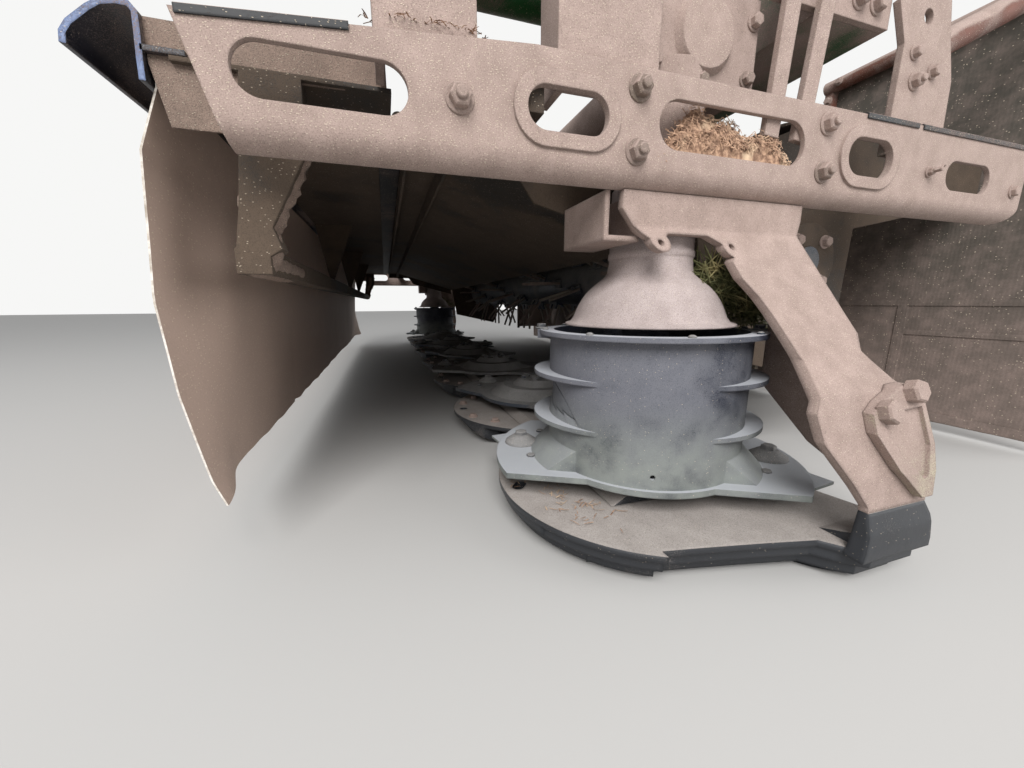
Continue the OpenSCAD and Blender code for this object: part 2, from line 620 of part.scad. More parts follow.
// Headstock: mast of two pairs of plates with a low cross tube and hitch pins
top_z = hitch_z + mast_h;
module mast_plate() along_x(0, 12) difference() {
  polygon([[head_y - 34, top_z - 190], [head_y + 30, top_z - 190], [head_y + 74, top_z - 20], [head_y + 74, top_z + 34],
    [head_y + 20, top_z + 34], [head_y - 34, top_z - 60]]);
  translate([head_y + 48, top_z]) circle(top_bore_r);
}
lug_y = head_y - 52;
stand_x = 260;
stand_r = 20;
stand_y = head_y - 74;
module headstock() color(green) {
  difference() {
    union() {
      difference() {
        translate([6 - hitch_half, head_y - 50, hitch_z - 50]) cube([2 * hitch_half - 12, 100, 100]);
        translate([-hitch_half, head_y - 42, hitch_z - 42]) cube([2 * hitch_half, 84, 84]);
      }
      for (s = [-1, 1]) translate([s * stand_x, stand_y, hitch_z - 110]) cylinder(h = 220, r = 28);
    }
    for (s = [-1, 1]) translate([s * stand_x, stand_y, hitch_z - 120]) cylinder(h = 240, r = stand_r + clear);
  }
  for (x = [-336, 324]) along_x(x, 12) polygon([[lug_y, hitch_z + 45], [head_y + 44, hitch_z + 45],
    [head_y + 10, lower_z + 34], [lug_y, lower_z + 34]]);
  for (s = [-1, 1]) side(s) {
    along_x(hitch_half - 14, 14) polygon([[head_y - 56, hitch_z - 56], [head_y + 54, hitch_z - 56],
      [head_y + 86, hitch_z - 20], [head_y + 86, hitch_z + 20], [head_y + 54, hitch_z + 56], [head_y - 56, hitch_z + 56]]);
    translate([hitch_half - 4, head_y + 66, hitch_z]) rotate([0, 90, 0]) cylinder(h = 94, r = hitch_pin_r);
    rod(mast_foot, mast_head, 30);
    translate([30, 0, 0]) mast_plate();
  }
  translate([-90, head_y - 28, top_z - 96]) cube([180, 50, 16]);
}

// Links that carry the header on the headstock, fixed here as suspension
module lower_links() color(green) for (x = [-330, 330]) {
  translate([x, cross_y + cross_w / 2 + clear, lower_z]) rotate([-90, 0, 0])
    cylinder(h = lug_y - cross_y - cross_w / 2 - 2 * clear, r = 24);
  for (y = [cross_y + cross_w / 2 + clear, lug_y - 40 - clear]) translate([x - 30, y, lower_z - 30]) cube([60, 40, 60]);
}
link_mid = (cross_y + head_y) / 2;
module upper_link() color(bare) {
  translate([clear - tower_x, cross_y + 15, link_z]) rotate([0, 90, 0]) cylinder(h = 2 * (tower_x - clear), r = 24);
  rod([0, cross_y + 20, link_z], [0, head_y - 60, link_z], 14);
  rod([0, link_mid - 130, link_z], [0, link_mid + 130, link_z], 22);
  translate([clear - 30, head_y - 80, link_z - 25]) cube([60 - 2 * clear, 90, 50]);
}
spring_wire = 8;
spring_r = 36;
module coil(l) rotate_extrude($fn = 48) {
  for (z = [spring_wire : 1.8 * spring_wire : l - spring_wire]) translate([spring_r - spring_wire, z]) circle(spring_wire);
  translate([spring_r - 1.5 * spring_wire, spring_wire]) square([spring_wire, l - 2 * spring_wire]);
}
module spring_between(a, b, l) {
  d = b - a;
  n = norm(d);
  rod(a, b, 7);
  translate(a + d * ((n - l) / 2 / n)) rotate([0, acos(d[2] / n), atan2(d[1], d[0])]) {
    coil(l);
    translate([0, 0, -4]) cylinder(h = 14, r = spring_r - spring_wire);
    translate([0, 0, l - 10]) cylinder(h = 14, r = spring_r - spring_wire);
  }
}
mast_foot = [340, head_y, hitch_z + 40];
mast_head = [60, head_y, top_z - 30];
spring_rear = mast_foot + (mast_head - mast_foot) * 0.7 - [0, 44 + clear, 0];
module float_springs() color(black) for (s = [-1, 1]) side(s) {
  spring_between([spring_x, spring_front[0], spring_front[1]], spring_rear, 320);
  translate([spring_x - 14 + clear, spring_front[0], spring_front[1]]) rotate([0, 90, 0])
    cylinder(h = 28 - 2 * clear, r = 14);
  translate(spring_rear - [12, 0, 0]) rotate([0, 90, 0]) cylinder(h = 24, r = 14);
}
// Belt cover at the far end, from the gearbox down to the rotor's shaft
module belt_cover() color(dust) side(-1) difference() {
  along_x(wall_x + 28 + clear, 56) {
    translate([rotor_y, rotor_z]) circle(78);
    translate([176, 552]) circle(62);
    polygon([[rotor_y + 50, rotor_z + 60], [218, 598], [130, 510], [rotor_y - 52, rotor_z - 58]]);
  }
  translate([wall_x, rotor_y, rotor_z]) rotate([0, 90, 0]) cylinder(h = 44, r = 32);
}

// Parking stands slide in sleeves on the headstock
module stand() {
  color(bare) translate([stand_x, stand_y, 8]) cylinder(h = 620, r = stand_r);
  color(bare) translate([stand_x, stand_y, 0]) cylinder(h = 8, r = 60);
}

placed() cutterbar();
placed() guards();
placed() end_shoe();  // end_shoe_left
placed() side(-1) end_shoe();  // end_shoe_right
placed() disc(1);  // disc_1
placed() disc(2);  // disc_2
placed() disc(3);  // disc_3
placed() disc(4);  // disc_4
placed() disc(5);  // disc_5
placed() disc(6);  // disc_6
placed() disc(7);  // disc_7
placed() leg();  // leg_left
placed() side(-1) leg();  // leg_right
placed() foot_bracket();  // foot_bracket_left
placed() side(-1) foot_bracket();  // foot_bracket_right
placed() bell();  // bell_left
placed() side(-1) bell();  // bell_right
placed() side_beam();  // side_beam_left
placed() side(-1) side_beam();  // side_beam_right
placed() gearbox_end();  // gearbox_left
placed() side(-1) gearbox_end();  // gearbox_right
placed() center_gearbox();
placed() input_shaft();
placed() main_frame();
placed() frame_posts();
placed() cutter_hood();
placed() front_guard();
placed() nose_channel();
placed() front_curtain();
placed() conditioner_hood();
placed() rotor_tube();
placed() rotor_tines();
placed() swath_board();  // swath_board_left
placed() side(-1) swath_board();  // swath_board_right
placed() rear_plate();  // rear_plate_left
placed() side(-1) rear_plate();  // rear_plate_right
placed() rear_guard_frame();
placed() rear_curtain();
placed() headstock();
placed() lower_links();
placed() upper_link();
placed() float_springs();
placed() belt_cover();
placed() stand();  // stand_left
placed() side(-1) stand();  // stand_right
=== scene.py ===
import json
import math
import random
import bpy
import numpy as np
from mathutils import Matrix, Vector, noise


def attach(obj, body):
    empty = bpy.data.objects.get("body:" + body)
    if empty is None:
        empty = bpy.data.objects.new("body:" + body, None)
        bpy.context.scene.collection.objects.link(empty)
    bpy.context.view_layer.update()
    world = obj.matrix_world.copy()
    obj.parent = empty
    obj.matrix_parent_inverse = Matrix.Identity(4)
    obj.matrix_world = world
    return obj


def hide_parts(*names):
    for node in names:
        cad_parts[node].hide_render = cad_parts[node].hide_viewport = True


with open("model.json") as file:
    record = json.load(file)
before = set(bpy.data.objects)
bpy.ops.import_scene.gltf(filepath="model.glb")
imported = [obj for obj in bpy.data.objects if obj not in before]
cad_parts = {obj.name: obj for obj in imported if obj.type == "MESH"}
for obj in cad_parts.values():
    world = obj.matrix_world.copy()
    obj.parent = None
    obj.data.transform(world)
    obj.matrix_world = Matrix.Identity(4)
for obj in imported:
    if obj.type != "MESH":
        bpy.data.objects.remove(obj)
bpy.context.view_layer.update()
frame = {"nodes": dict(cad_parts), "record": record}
ROW = -0.282  # metres from the disc axes to the part's middle, as row_y in the source

UP = (0, 0, 1)

# Driving sizes with the source's names, in its millimetres and degrees
DISC_PITCH = 420
END_X = 3 * DISC_PITCH  # axis of the end disc, its drum and its bell
DISC_ANGLE = 61.4  # from X to the long axis of every second disc
BEAM_X = END_X + 80  # outer face of the side beams
WALL_X = END_X - 60  # side walls of the conditioner and the cutter hood
GUARD_HALF = WALL_X + 84  # half the width of the front guard and its nose
HINGE_X = WALL_X - 300  # the guard's outer hinges
ROTOR_Y, ROTOR_Z = 345, 367
TINE_PITCH = 150
DRIVE_Z = 602  # cross shafts of the middle gearbox
INPUT_Z = DRIVE_Z + 228


def P(x, y, z):
    """A point given in the source's millimetres, with y from the disc axes."""
    return Vector((x / 1000, y / 1000 + ROW, z / 1000))


# Materials

class Mat:
    """A small hand for building one procedural material."""

    def __init__(self, name):
        self.m = bpy.data.materials.new(name)
        self.m.use_nodes = True
        self.t = self.m.node_tree
        self.t.nodes.clear()
        self.co = self.new("ShaderNodeTexCoord").outputs["Object"]
        self.geo = self.new("ShaderNodeNewGeometry")

    def new(self, kind, **kw):
        n = self.t.nodes.new(kind)
        for k, v in kw.items():
            setattr(n, k, v)
        return n

    def put(self, socket, value):
        if isinstance(value, bpy.types.NodeSocket):
            self.t.links.new(value, socket)
        else:
            socket.default_value = value

    def scaled(self, s):
        n = self.new("ShaderNodeMapping")
        self.put(n.inputs["Vector"], self.co)
        n.inputs["Scale"].default_value = s
        return n.outputs[0]

    def noise(self, scale, detail=4.0, rough=0.55):
        n = self.new("ShaderNodeTexNoise")
        self.put(n.inputs["Vector"], self.co)
        n.inputs["Scale"].default_value = scale
        n.inputs["Detail"].default_value = detail
        n.inputs["Roughness"].default_value = rough
        return n.outputs["Fac"]

    def cells(self, scale, at, out="Distance"):
        n = self.new("ShaderNodeTexVoronoi")
        self.put(n.inputs["Vector"], at)
        n.inputs["Scale"].default_value = scale
        return n.outputs[out]

    def math(self, op, a, b=0.0, clamp=False):
        n = self.new("ShaderNodeMath", operation=op, use_clamp=clamp)
        self.put(n.inputs[0], a)
        self.put(n.inputs[1], b)
        return n.outputs[0]

    def range(self, x, a, b, c=0.0, d=1.0, smooth=True):
        n = self.new("ShaderNodeMapRange", interpolation_type="SMOOTHSTEP" if smooth else "LINEAR")
        self.put(n.inputs[0], x)
        for i, v in enumerate((a, b, c, d)):
            n.inputs[i + 1].default_value = v
        return n.outputs[0]

    def mix(self, fac, a, b):
        n = self.new("ShaderNodeMix", data_type="RGBA")
        self.put(n.inputs["Factor"], fac)
        self.put(n.inputs[6], a if isinstance(a, bpy.types.NodeSocket) else (*a, 1))
        self.put(n.inputs[7], b if isinstance(b, bpy.types.NodeSocket) else (*b, 1))
        return n.outputs[2]

    def axis(self, vector, i):
        n = self.new("ShaderNodeSeparateXYZ")
        self.put(n.inputs[0], vector)
        return n.outputs[i]

    def out(self, color, rough, metal, height=None, strength=0.5, distance=0.001, bevel=0.0):
        b = self.new("ShaderNodeBsdfPrincipled")
        self.put(b.inputs["Base Color"], color)
        self.put(b.inputs["Roughness"], rough)
        self.put(b.inputs["Metallic"], metal)
        normal = None
        if bevel:
            n = self.new("ShaderNodeBevel", samples=4)
            n.inputs["Radius"].default_value = bevel
            normal = n.outputs[0]
        if height is not None:
            n = self.new("ShaderNodeBump")
            n.inputs["Strength"].default_value = strength
            n.inputs["Distance"].default_value = distance
            self.put(n.inputs["Height"], height)
            if normal is not None:
                self.put(n.inputs["Normal"], normal)
            normal = n.outputs[0]
        if normal is not None:
            self.put(b.inputs["Normal"], normal)
        o = self.new("ShaderNodeOutputMaterial")
        self.put(o.inputs[0], b.outputs[0])
        return self.m


def lin(r, g, b):
    """An sRGB colour of 0 to 255 as linear values."""
    return tuple(((c / 255) / 12.92 if c <= 10 else ((c / 255 + 0.055) / 1.055) ** 2.4) for c in (r, g, b))


DUST_A = lin(178, 157, 148)
DUST_B = lin(132, 114, 105)
FLECK = lin(216, 200, 178)


def coated(name, base, base2, rough=0.5, metal=0.0, cover=0.8, spread=0.5, up=0.4, fleck=0.5,
           dust=(DUST_A, DUST_B), bump=0.6, distance=0.0012, bevel=0.0025, tilt=(0.0, 0.8),
           low=None, top=None):
    """A painted or bare metal under a coat of chaff dust. cover is how much of a wall the dust hides, up how
    much more of a face that looks up, tilt the normal's Z at either, spread how patchy the dust is, fleck how
    much chaff sticks to it, low a stain's colour near the ground with its height, and top a painted
    highlight:
    a lighter colour on faces that look up, with its share."""
    m = Mat(name)
    wide = m.noise(5.0, 3.0)
    mid = m.noise(38.0, 4.0, 0.6)
    fine = m.noise(900.0, 3.0, 0.75)
    body = m.mix(wide, base, base2)
    body = m.mix(m.range(mid, 0.52, 0.7, 0.0, 0.5), body, tuple(c * 0.55 for c in base))
    dusty = m.mix(mid, dust[0], dust[1])
    dusty = m.mix(m.range(fine, 0.46, 0.68, 0.0, 0.6), dusty, tuple(c * 0.45 for c in dust[1]))
    nz = m.axis(m.geo.outputs["Normal"], 2)
    patches = m.range(wide, 0.3, 0.7, -spread / 2, spread / 2)
    amount = m.math("ADD", m.range(nz, tilt[0], tilt[1], cover, cover + up), patches)
    peaks = m.math("ADD", m.math("MULTIPLY", fine, 0.7), m.math("MULTIPLY", mid, 0.3))
    # the dust lies in specks: where it is thin, only the grain's peaks show it
    edge = m.math("SUBTRACT", 1.02, amount)
    fac = m.math("MULTIPLY", m.math("SUBTRACT", peaks, m.math("MULTIPLY", edge, 0.62)), 7.0, clamp=True)
    color = m.mix(fac, body, dusty)
    if low:
        z = m.range(m.axis(m.co, 2), low[1], low[1] * 0.45)
        color = m.mix(m.math("MULTIPLY", z, m.range(mid, 0.25, 0.7, 0.3, 0.6)), color, low[0])
    # painted light: faces that look up are lightened as if lit from above
    if top:
        color = m.mix(m.range(nz, 0.6, 0.95, 0.0, top[1]), color, top[0])
    bits = m.cells(620.0, m.scaled((1.0, 0.5, 1.0)))
    bits2 = m.cells(420.0, m.scaled((0.5, 1.0, 0.7)))
    pick = m.axis(m.cells(620.0, m.scaled((1.0, 0.5, 1.0)), "Color"), 0)
    few = m.range(pick, 1.0 - 0.7 * fleck, 1.02 - 0.7 * fleck)
    bit = m.math("MULTIPLY", m.range(bits, 0.30, 0.18), few)
    pick2 = m.axis(m.cells(420.0, m.scaled((0.5, 1.0, 0.7)), "Color"), 1)
    few2 = m.range(pick2, 1.0 - 0.12 * fleck, 1.02 - 0.12 * fleck)
    bit2 = m.math("MULTIPLY", m.range(bits2, 0.26, 0.15), few2)
    stuck = m.math("MAXIMUM", bit, bit2)
    color = m.mix(m.math("MULTIPLY", stuck, 0.5), color, FLECK)
    height = m.math("ADD", m.math("MULTIPLY", fac, m.math("ADD", m.math("MULTIPLY", fine, 0.8), 0.3)),
                    m.math("MULTIPLY", stuck, 0.9))
    height = m.math("ADD", height, m.math("MULTIPLY", mid, 0.6))
    r = m.range(fac, 0.0, 1.0, rough, 0.95, smooth=False)
    mt = m.range(fac, 0.0, 0.7, metal, 0.0, smooth=False) if metal else 0.0
    return m.out(color, r, mt, height, bump, distance, bevel)


def cloth_mat(name, base, base2, dust=0.35, rubber=False, tint=(DUST_A, DUST_B), hem=0.5):
    """Woven cloth, or smooth rubber. dust is how dusty it is, tint the dust's two colours, and hem how much
    more of it lies towards the ground."""
    m = Mat(name)
    wide = m.noise(3.5, 4.0)
    mid = m.noise(30.0, 5.0, 0.65)
    fine = m.noise(500.0, 3.0, 0.7)
    z = m.axis(m.co, 2)
    body = m.mix(wide, base, base2)
    low = m.range(z, 0.55, 0.02, 0.0, hem)
    amount = m.math("ADD", m.math("MULTIPLY", m.range(mid, 0.35, 0.7), dust), m.math("MULTIPLY", low, dust))
    color = m.mix(amount, body, m.mix(fine, *tint))
    bits = m.cells(360.0, m.scaled((0.6, 1.0, 1.0)))
    pick = m.axis(m.cells(360.0, m.scaled((0.6, 1.0, 1.0)), "Color"), 0)
    bit = m.math("MULTIPLY", m.range(bits, 0.3, 0.18), m.range(pick, 1.0 - 0.5 * dust, 1.02 - 0.5 * dust))
    color = m.mix(m.math("MULTIPLY", bit, 0.8), color, FLECK)
    threads = []
    for direction in ("X", "Z"):
        wave = m.new("ShaderNodeTexWave", wave_type="BANDS", bands_direction=direction)
        m.put(wave.inputs["Vector"], m.co)
        wave.inputs["Scale"].default_value = 45.0
        threads.append(wave.outputs["Fac"])
    h = m.math("MULTIPLY", m.math("ADD", *threads), 0.0 if rubber else 0.25)
    h = m.math("ADD", h, m.math("ADD", m.math("MULTIPLY", fine, 0.5), m.math("MULTIPLY", mid, 0.8)))
    h = m.math("ADD", h, bit)
    return m.out(color, 0.85 if not rubber else 0.7, 0.0, h, 0.45, 0.001)


def straw_mat(name, a, b, c):
    m = Mat(name)
    n1 = m.noise(160.0, 3.0, 0.7)
    n2 = m.noise(30.0, 2.0)
    color = m.mix(m.range(n1, 0.35, 0.65), a, b)
    color = m.mix(m.range(n2, 0.5, 0.75), color, c)
    return m.out(color, 0.9, 0.0, n1, 0.5, 0.001)


M = {
    "green_paint": coated("green_paint", lin(22, 92, 40), lin(15, 70, 32), rough=0.38, metal=0.0,
                          cover=0.28, spread=0.5, up=0.75, fleck=0.3),
    "dusty_paint": coated("dusty_paint", lin(70, 74, 78), lin(52, 56, 60), rough=0.5, metal=0.0, cover=0.88,
                          spread=0.34, up=0.2, fleck=0.9),
    "leg_paint": coated("leg_paint", lin(70, 74, 78), lin(52, 56, 60), rough=0.5, metal=0.0, cover=0.85,
                        spread=0.36, up=0.2, fleck=0.6, bevel=0.007),
    "bell_paint": coated("bell_paint", lin(70, 74, 78), lin(52, 56, 60), rough=0.5, metal=0.0, cover=0.84,
                         spread=0.36, up=0.2, fleck=0.5, dust=(lin(190, 176, 172), lin(146, 132, 128))),
    # painted shade: a dark, shaded copy of the dusty paint for the hoods and the front guard, which lie in
    # shade
    "hood_painted_shade": coated("hood_painted_shade", lin(46, 40, 34), lin(32, 27, 23), rough=0.7, metal=0.0, cover=0.5,
                         spread=0.6, up=0.5, fleck=0.15, dust=(lin(96, 80, 66), lin(66, 55, 45))),
    # its top colour is painted light on the faces of the drums and lobes that look up
    "drum_steel": coated("drum_steel", lin(54, 58, 72), lin(36, 40, 52), rough=0.42, metal=0.3, cover=0.34,
                         spread=0.5, up=0.8, fleck=0.1, dust=(lin(122, 122, 128), lin(84, 86, 94)),
                         low=(lin(146, 151, 142), 0.2), bump=0.45, top=(lin(180, 182, 187), 0.7)),
    "disc_steel": coated("disc_steel", lin(64, 70, 80), lin(40, 44, 52), rough=0.4, metal=0.35, cover=0.3,
                         spread=0.5, up=0.6, fleck=0.2, dust=(lin(150, 148, 146), lin(112, 110, 108)),
                         bump=0.45),
    "shoe_steel": coated("shoe_steel", lin(58, 60, 64), lin(34, 35, 38), rough=0.42, metal=0.3, cover=0.06,
                         spread=0.35, up=0.95, fleck=0.08, dust=(lin(178, 170, 164), lin(140, 132, 126)),
                         bevel=0.006, tilt=(0.6, 0.97)),
    "bare_steel": coated("bare_steel", lin(140, 132, 120), lin(104, 94, 84), rough=0.42, metal=0.5,
                         cover=0.35, spread=0.6, up=0.5, fleck=0.5),
    "bracket": coated("bracket", lin(196, 190, 160), lin(164, 154, 130), rough=0.5, metal=0.1, cover=0.55,
                      spread=0.6, up=0.3, fleck=0.3),
    "black_paint": coated("black_paint", lin(24, 27, 38), lin(16, 17, 22), rough=0.3, metal=0.0, cover=0.12,
                          spread=0.5, up=0.6, fleck=0.4),
    "nose_paint": coated("nose_paint", lin(34, 36, 46), lin(18, 18, 22), rough=0.35, metal=0.0, cover=0.16,
                         spread=0.5, up=0.5, fleck=0.08),
    # painted highlight: a light blue-grey for the glint along the nose channel's cut ends
    "nose_painted_highlight": coated("nose_painted_highlight", lin(104, 122, 158), lin(76, 90, 124), rough=0.4, metal=0.0, cover=0.2,
                        spread=0.5, up=0.4, fleck=0.1),
    "dirt": coated("dirt", lin(86, 74, 64), lin(66, 56, 48), rough=0.85, metal=0.0, cover=0.8, spread=0.4,
                   up=0.2, fleck=0.5, dust=(lin(160, 138, 124), lin(108, 92, 82)), bump=0.9,
                   distance=0.002),
    "rust_paint": coated("rust_paint", lin(112, 62, 44), lin(78, 46, 36), rough=0.7, metal=0.0, cover=0.25,
                         spread=0.6, up=0.7, fleck=0.4),
    "bolt_steel": coated("bolt_steel", lin(120, 108, 94), lin(92, 78, 64), rough=0.45, metal=0.5,
                         cover=0.55, spread=0.5, up=0.4, fleck=0.5, bevel=0.0012),
    "rubber_edge": coated("rubber_edge", lin(24, 25, 28), lin(16, 16, 18), rough=0.6, metal=0.0, cover=0.1,
                          spread=0.4, up=0.6, fleck=0.3),
    # painted light: the front curtain's rubber is given a paler colour than its own, to make up for the shade
    # on its inner face
    "curtain_rubber": cloth_mat("curtain_rubber", lin(214, 188, 172), lin(172, 148, 134), dust=0.8,
                                rubber=True, tint=(lin(214, 188, 172), lin(166, 143, 130))),
    "curtain_cut": straw_mat("curtain_cut", lin(214, 208, 200), lin(176, 166, 154), lin(150, 138, 124)),
    "curtain_cloth": cloth_mat("curtain_cloth", lin(86, 80, 72), lin(68, 64, 58), dust=0.3, hem=1.5),
    "chaff": straw_mat("chaff", lin(178, 144, 118), lin(112, 84, 66), lin(208, 182, 152)),
    "grass": straw_mat("grass", lin(112, 112, 72), lin(72, 76, 44), lin(170, 158, 112)),
}
BY_NODE = {
    "cutterbar": "shoe_steel", "guards": "shoe_steel", "disc_1": "drum_steel", "disc_7": "drum_steel",
    # the hoods and the front guard take the dark material of painted shade
    "cutter_hood": "hood_painted_shade", "conditioner_hood": "hood_painted_shade", "front_guard": "hood_painted_shade",
}
for end in ("_left", "_right"):
    BY_NODE["end_shoe" + end] = "shoe_steel"
    BY_NODE["leg" + end] = "leg_paint"
    BY_NODE["foot_bracket" + end] = "bracket"
for name, obj in frame["nodes"].items():
    slot = [s["material_slot"] for s in frame["record"]["subparts"] if s["node"] == name][0]
    for s in obj.material_slots:
        s.material = M[BY_NODE.get(name, slot)]


# Mesh helpers

class Acc:
    """Gathers turned solids, tubes and plates into one mesh."""

    def __init__(self):
        self.v, self.f, self.mi = [], [], []

    def add(self, vs, fs):
        k = len(self.v)
        self.v += [tuple(p) for p in vs]
        self.f += [tuple(i + k for i in face) for face in fs]
        self.mi += [0] * len(fs)

    def turned(self, at, axis, rings, n=16, turn=0.0):
        """A turned solid: rings are (distance along the axis, radius) in metres."""
        d = Vector(axis).normalized()
        a = d.orthogonal().normalized()
        b = d.cross(a)
        vs, fs = [], []
        for h, r in rings:
            for i in range(n):
                t = 2 * math.pi * i / n + turn
                vs.append(Vector(at) + d * h + (a * math.cos(t) + b * math.sin(t)) * r)
        for k in range(len(rings) - 1):
            for i in range(n):
                j = (i + 1) % n
                fs.append((k * n + i, k * n + j, (k + 1) * n + j, (k + 1) * n + i))
        fs.append(tuple(range(n - 1, -1, -1)))
        fs.append(tuple(range((len(rings) - 1) * n, len(rings) * n)))
        self.add(vs, fs)

    def bolt(self, at, axis, af=0.019, head=0.008, washer=True, turn=0.3, stud=0.0):
        """A hexagon head on a washer; stud is the thread that stands out of a nut."""
        d = Vector(axis).normalized()
        p = Vector(at) - d * 0.0006
        r = af / 2 / math.cos(math.pi / 6)
        if washer:
            self.turned(p, d, [(0, r * 1.28), (0.0016, r * 1.32), (0.0026, r * 1.26)], 24)
            p = p + d * 0.0026
        self.turned(p, d, [(0, r), (head * 0.82, r), (head, r * 0.84)], 6, turn)
        if stud:
            self.turned(p, d, [(0, r * 0.52), (head + stud - 0.001, r * 0.52), (head + stud, r * 0.42)], 12)

    def sweep(self, pts, r, n=8):
        """A tube along points; r is a number or one for each point."""
        pts = [Vector(p) for p in pts]
        rs = r if isinstance(r, (list, tuple)) else [r] * len(pts)
        vs, fs = [], []
        ref = None
        for i, p in enumerate(pts):
            d = (pts[min(i + 1, len(pts) - 1)] - pts[max(i - 1, 0)]).normalized()
            a = d.orthogonal().normalized() if ref is None else (ref - d * ref.dot(d)).normalized()
            ref = a
            b = d.cross(a)
            for k in range(n):
                t = 2 * math.pi * k / n
                vs.append(p + (a * math.cos(t) + b * math.sin(t)) * rs[i])
        for i in range(len(pts) - 1):
            for k in range(n):
                j = (k + 1) % n
                fs.append((i * n + k, i * n + j, (i + 1) * n + j, (i + 1) * n + k))
        fs.append(tuple(range(n - 1, -1, -1)))
        fs.append(tuple(range((len(pts) - 1) * n, len(pts) * n)))
        self.add(vs, fs)

    def plate(self, outline, normal, t):
        """A flat plate: outline points in order, pushed along normal by t."""
        n = Vector(normal).normalized() * t
        k = len(outline)
        vs = [Vector(p) for p in outline] + [Vector(p) + n for p in outline]
        fs = [tuple(range(k - 1, -1, -1)), tuple(range(k, 2 * k))]
        fs += [(i, (i + 1) % k, (i + 1) % k + k, i + k) for i in range(k)]
        self.add(vs, fs)

    def make(self, name, mats, body, smooth=False):
        me = bpy.data.meshes.new(name)
        me.from_pydata(self.v, [], self.f)
        for m in mats if isinstance(mats, list) else [mats]:
            me.materials.append(M[m])
        me.polygons.foreach_set("material_index", self.mi)
        me.update()
        o = bpy.data.objects.new(name, me)
        bpy.context.scene.collection.objects.link(o)
        if smooth:
            me.polygons.foreach_set("use_smooth", [True] * len(me.polygons))
            me.set_sharp_from_angle(angle=math.radians(40))
        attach(o, body)
        return o


def both(fn):
    for s in (1, -1):
        fn(s)


# Bolts on the fixed frame

def frame_bolts():
    a = Acc()

    def side(s):
        X = (s, 0, 0)
        for i, (y, z) in enumerate([(-275, 481), (-86, 516), (-86, 456), (189, 516), (191, 461)]):
            a.bolt(P(s * BEAM_X, y, z), X, 0.018, 0.009, True, 0.3 + i, 0.004)
        a.bolt(P(s * BEAM_X, 401, 480), X, 0.010, 0.005, True, 0.7, 0.009)
        wire = [(1352, 389, 478), (1353, 401, 481), (1352, 409, 487), (1351, 414, 486)]
        a.sweep([P(s * x, y, z) for x, y, z in wire], 0.0014, 6)
        a.bolt(P(s * BEAM_X, 618, 470), X, 0.013, 0.006, True, 0.1)
        # gear case cover
        case = [(-50, 624), (-44, 567), (94, 628), (90, 567), (22, 556), (-20, 690), (62, 690)]
        for i, (y, z) in enumerate(case):
            a.bolt(P(s * 1302, y, z), X, 0.013, 0.007, True, i * 0.5)
        # foot bracket on the leg's lower bend
        n = Vector((s * 0.957, 0, 0.29))
        for x, y, z in [(1487.6, 124, 189), (1482.6, 169, 206)]:
            a.bolt(P(s * x, y, z), n, 0.022, 0.012, False, 0.2 + x)
        # rear plate
        a.bolt(P(s * 1333.7, 345, 588), X, 0.015, 0.008, True, 0.5, 0.004)
        a.bolt(P(s * 1333.7, 378, 604), X, 0.012, 0.007, True, 0.1)
        a.bolt(P(s * 1333.7, 336, 620), X, 0.012, 0.007, True, 0.9)
        # the rotor's bearing housing; the far one lies under the belt cover
        for k in range(4 if s > 0 else 0):
            t = math.pi / 4 + k * math.pi / 2
            y, z = ROTOR_Y + 46 * math.cos(t), ROTOR_Z + 46 * math.sin(t)
            a.bolt(P(s * 1228, y, z), X, 0.015, 0.008, True, k)
        # side tubes' end caps, posts
        for y in (-301, -118):
            for z in (682, 722):
                a.bolt(P(s * 1333.6, y, z), X, 0.016, 0.009, True, y + z)
        for y in (118, 172, 230, 262):
            a.bolt(P(s * 1326, y, 742), X, 0.016, 0.009, True, y)
            a.bolt(P(s * 1326, y, 664), X, 0.016, 0.009, True, y)
        # hood's edge
        for y in (-300, -240, -200, -60, 40):
            a.bolt(P(s * 1204, y, 496), X, 0.012, 0.006, True, y)

    both(side)
    # bearing caps on the bar
    for i in range(1, 6):
        x = END_X - i * DISC_PITCH
        for k in range(6):
            t = k * math.pi / 3 + 0.26
            a.bolt(P(x + 62 * math.cos(t), 62 * math.sin(t), 64), UP, 0.012, 0.004, False, k)
        for dx, dy in ((-60, -178), (60, -178), (-110, -140), (110, -140)):
            a.bolt(P(x + dx, dy, 46), UP, 0.014, 0.005, True, dx)
    # middle gearbox
    for z, r, inward in ((DRIVE_Z, 74, 1), (INPUT_Z, 64, -1)):
        for k in range(6):
            t = k * 2 * math.pi / 6 + 0.5
            # none on the side towards the other shaft
            if inward * math.sin(t) > 0.75:
                continue
            for y, d in ((-40, -1), (84, 1)):
                a.bolt(P(r * math.cos(t), y, z + r * math.sin(t)), (0, d, 0), 0.013, 0.007, True, k)
    for k in range(6):
        t = k * math.pi / 3
        a.bolt(P(44 * math.cos(t), 130, INPUT_Z + 44 * math.sin(t)), (0, 1, 0), 0.01, 0.006, False, k)
    breather = [(0, 0.011), (0.006, 0.011), (0.006, 0.007), (0.02, 0.007), (0.022, 0.005)]
    a.turned(P(0, 40, 907), UP, breather, 16)
    # lugs of the springs and of the upper link
    for s in (1, -1):
        a.bolt(P(s * 354.5, 260, 810), (s, 0, 0), 0.024, 0.012, True, 0.1, 0.004)
        a.bolt(P(s * 106, 245, 950), (s, 0, 0), 0.03, 0.016, True, 0.3, 0.006)
    # rear rails
    for s in (1, -1):
        for x in (900, 1060, 1220, 1370):
            a.bolt(P(s * x, 819, 862), (0, -1, 0), 0.012, 0.006, True, x)
        a.bolt(P(s * 870, 830.5, 640), (0, -1, 0), 0.014, 0.007, True, 0.4)
        a.bolt(P(s * 870, 830.5, 830), (0, -1, 0), 0.014, 0.007, True, 0.4)
    return a.make("bolts_frame", "bolt_steel", "frame")


frame_bolts()


# Rotor, discs and shafts

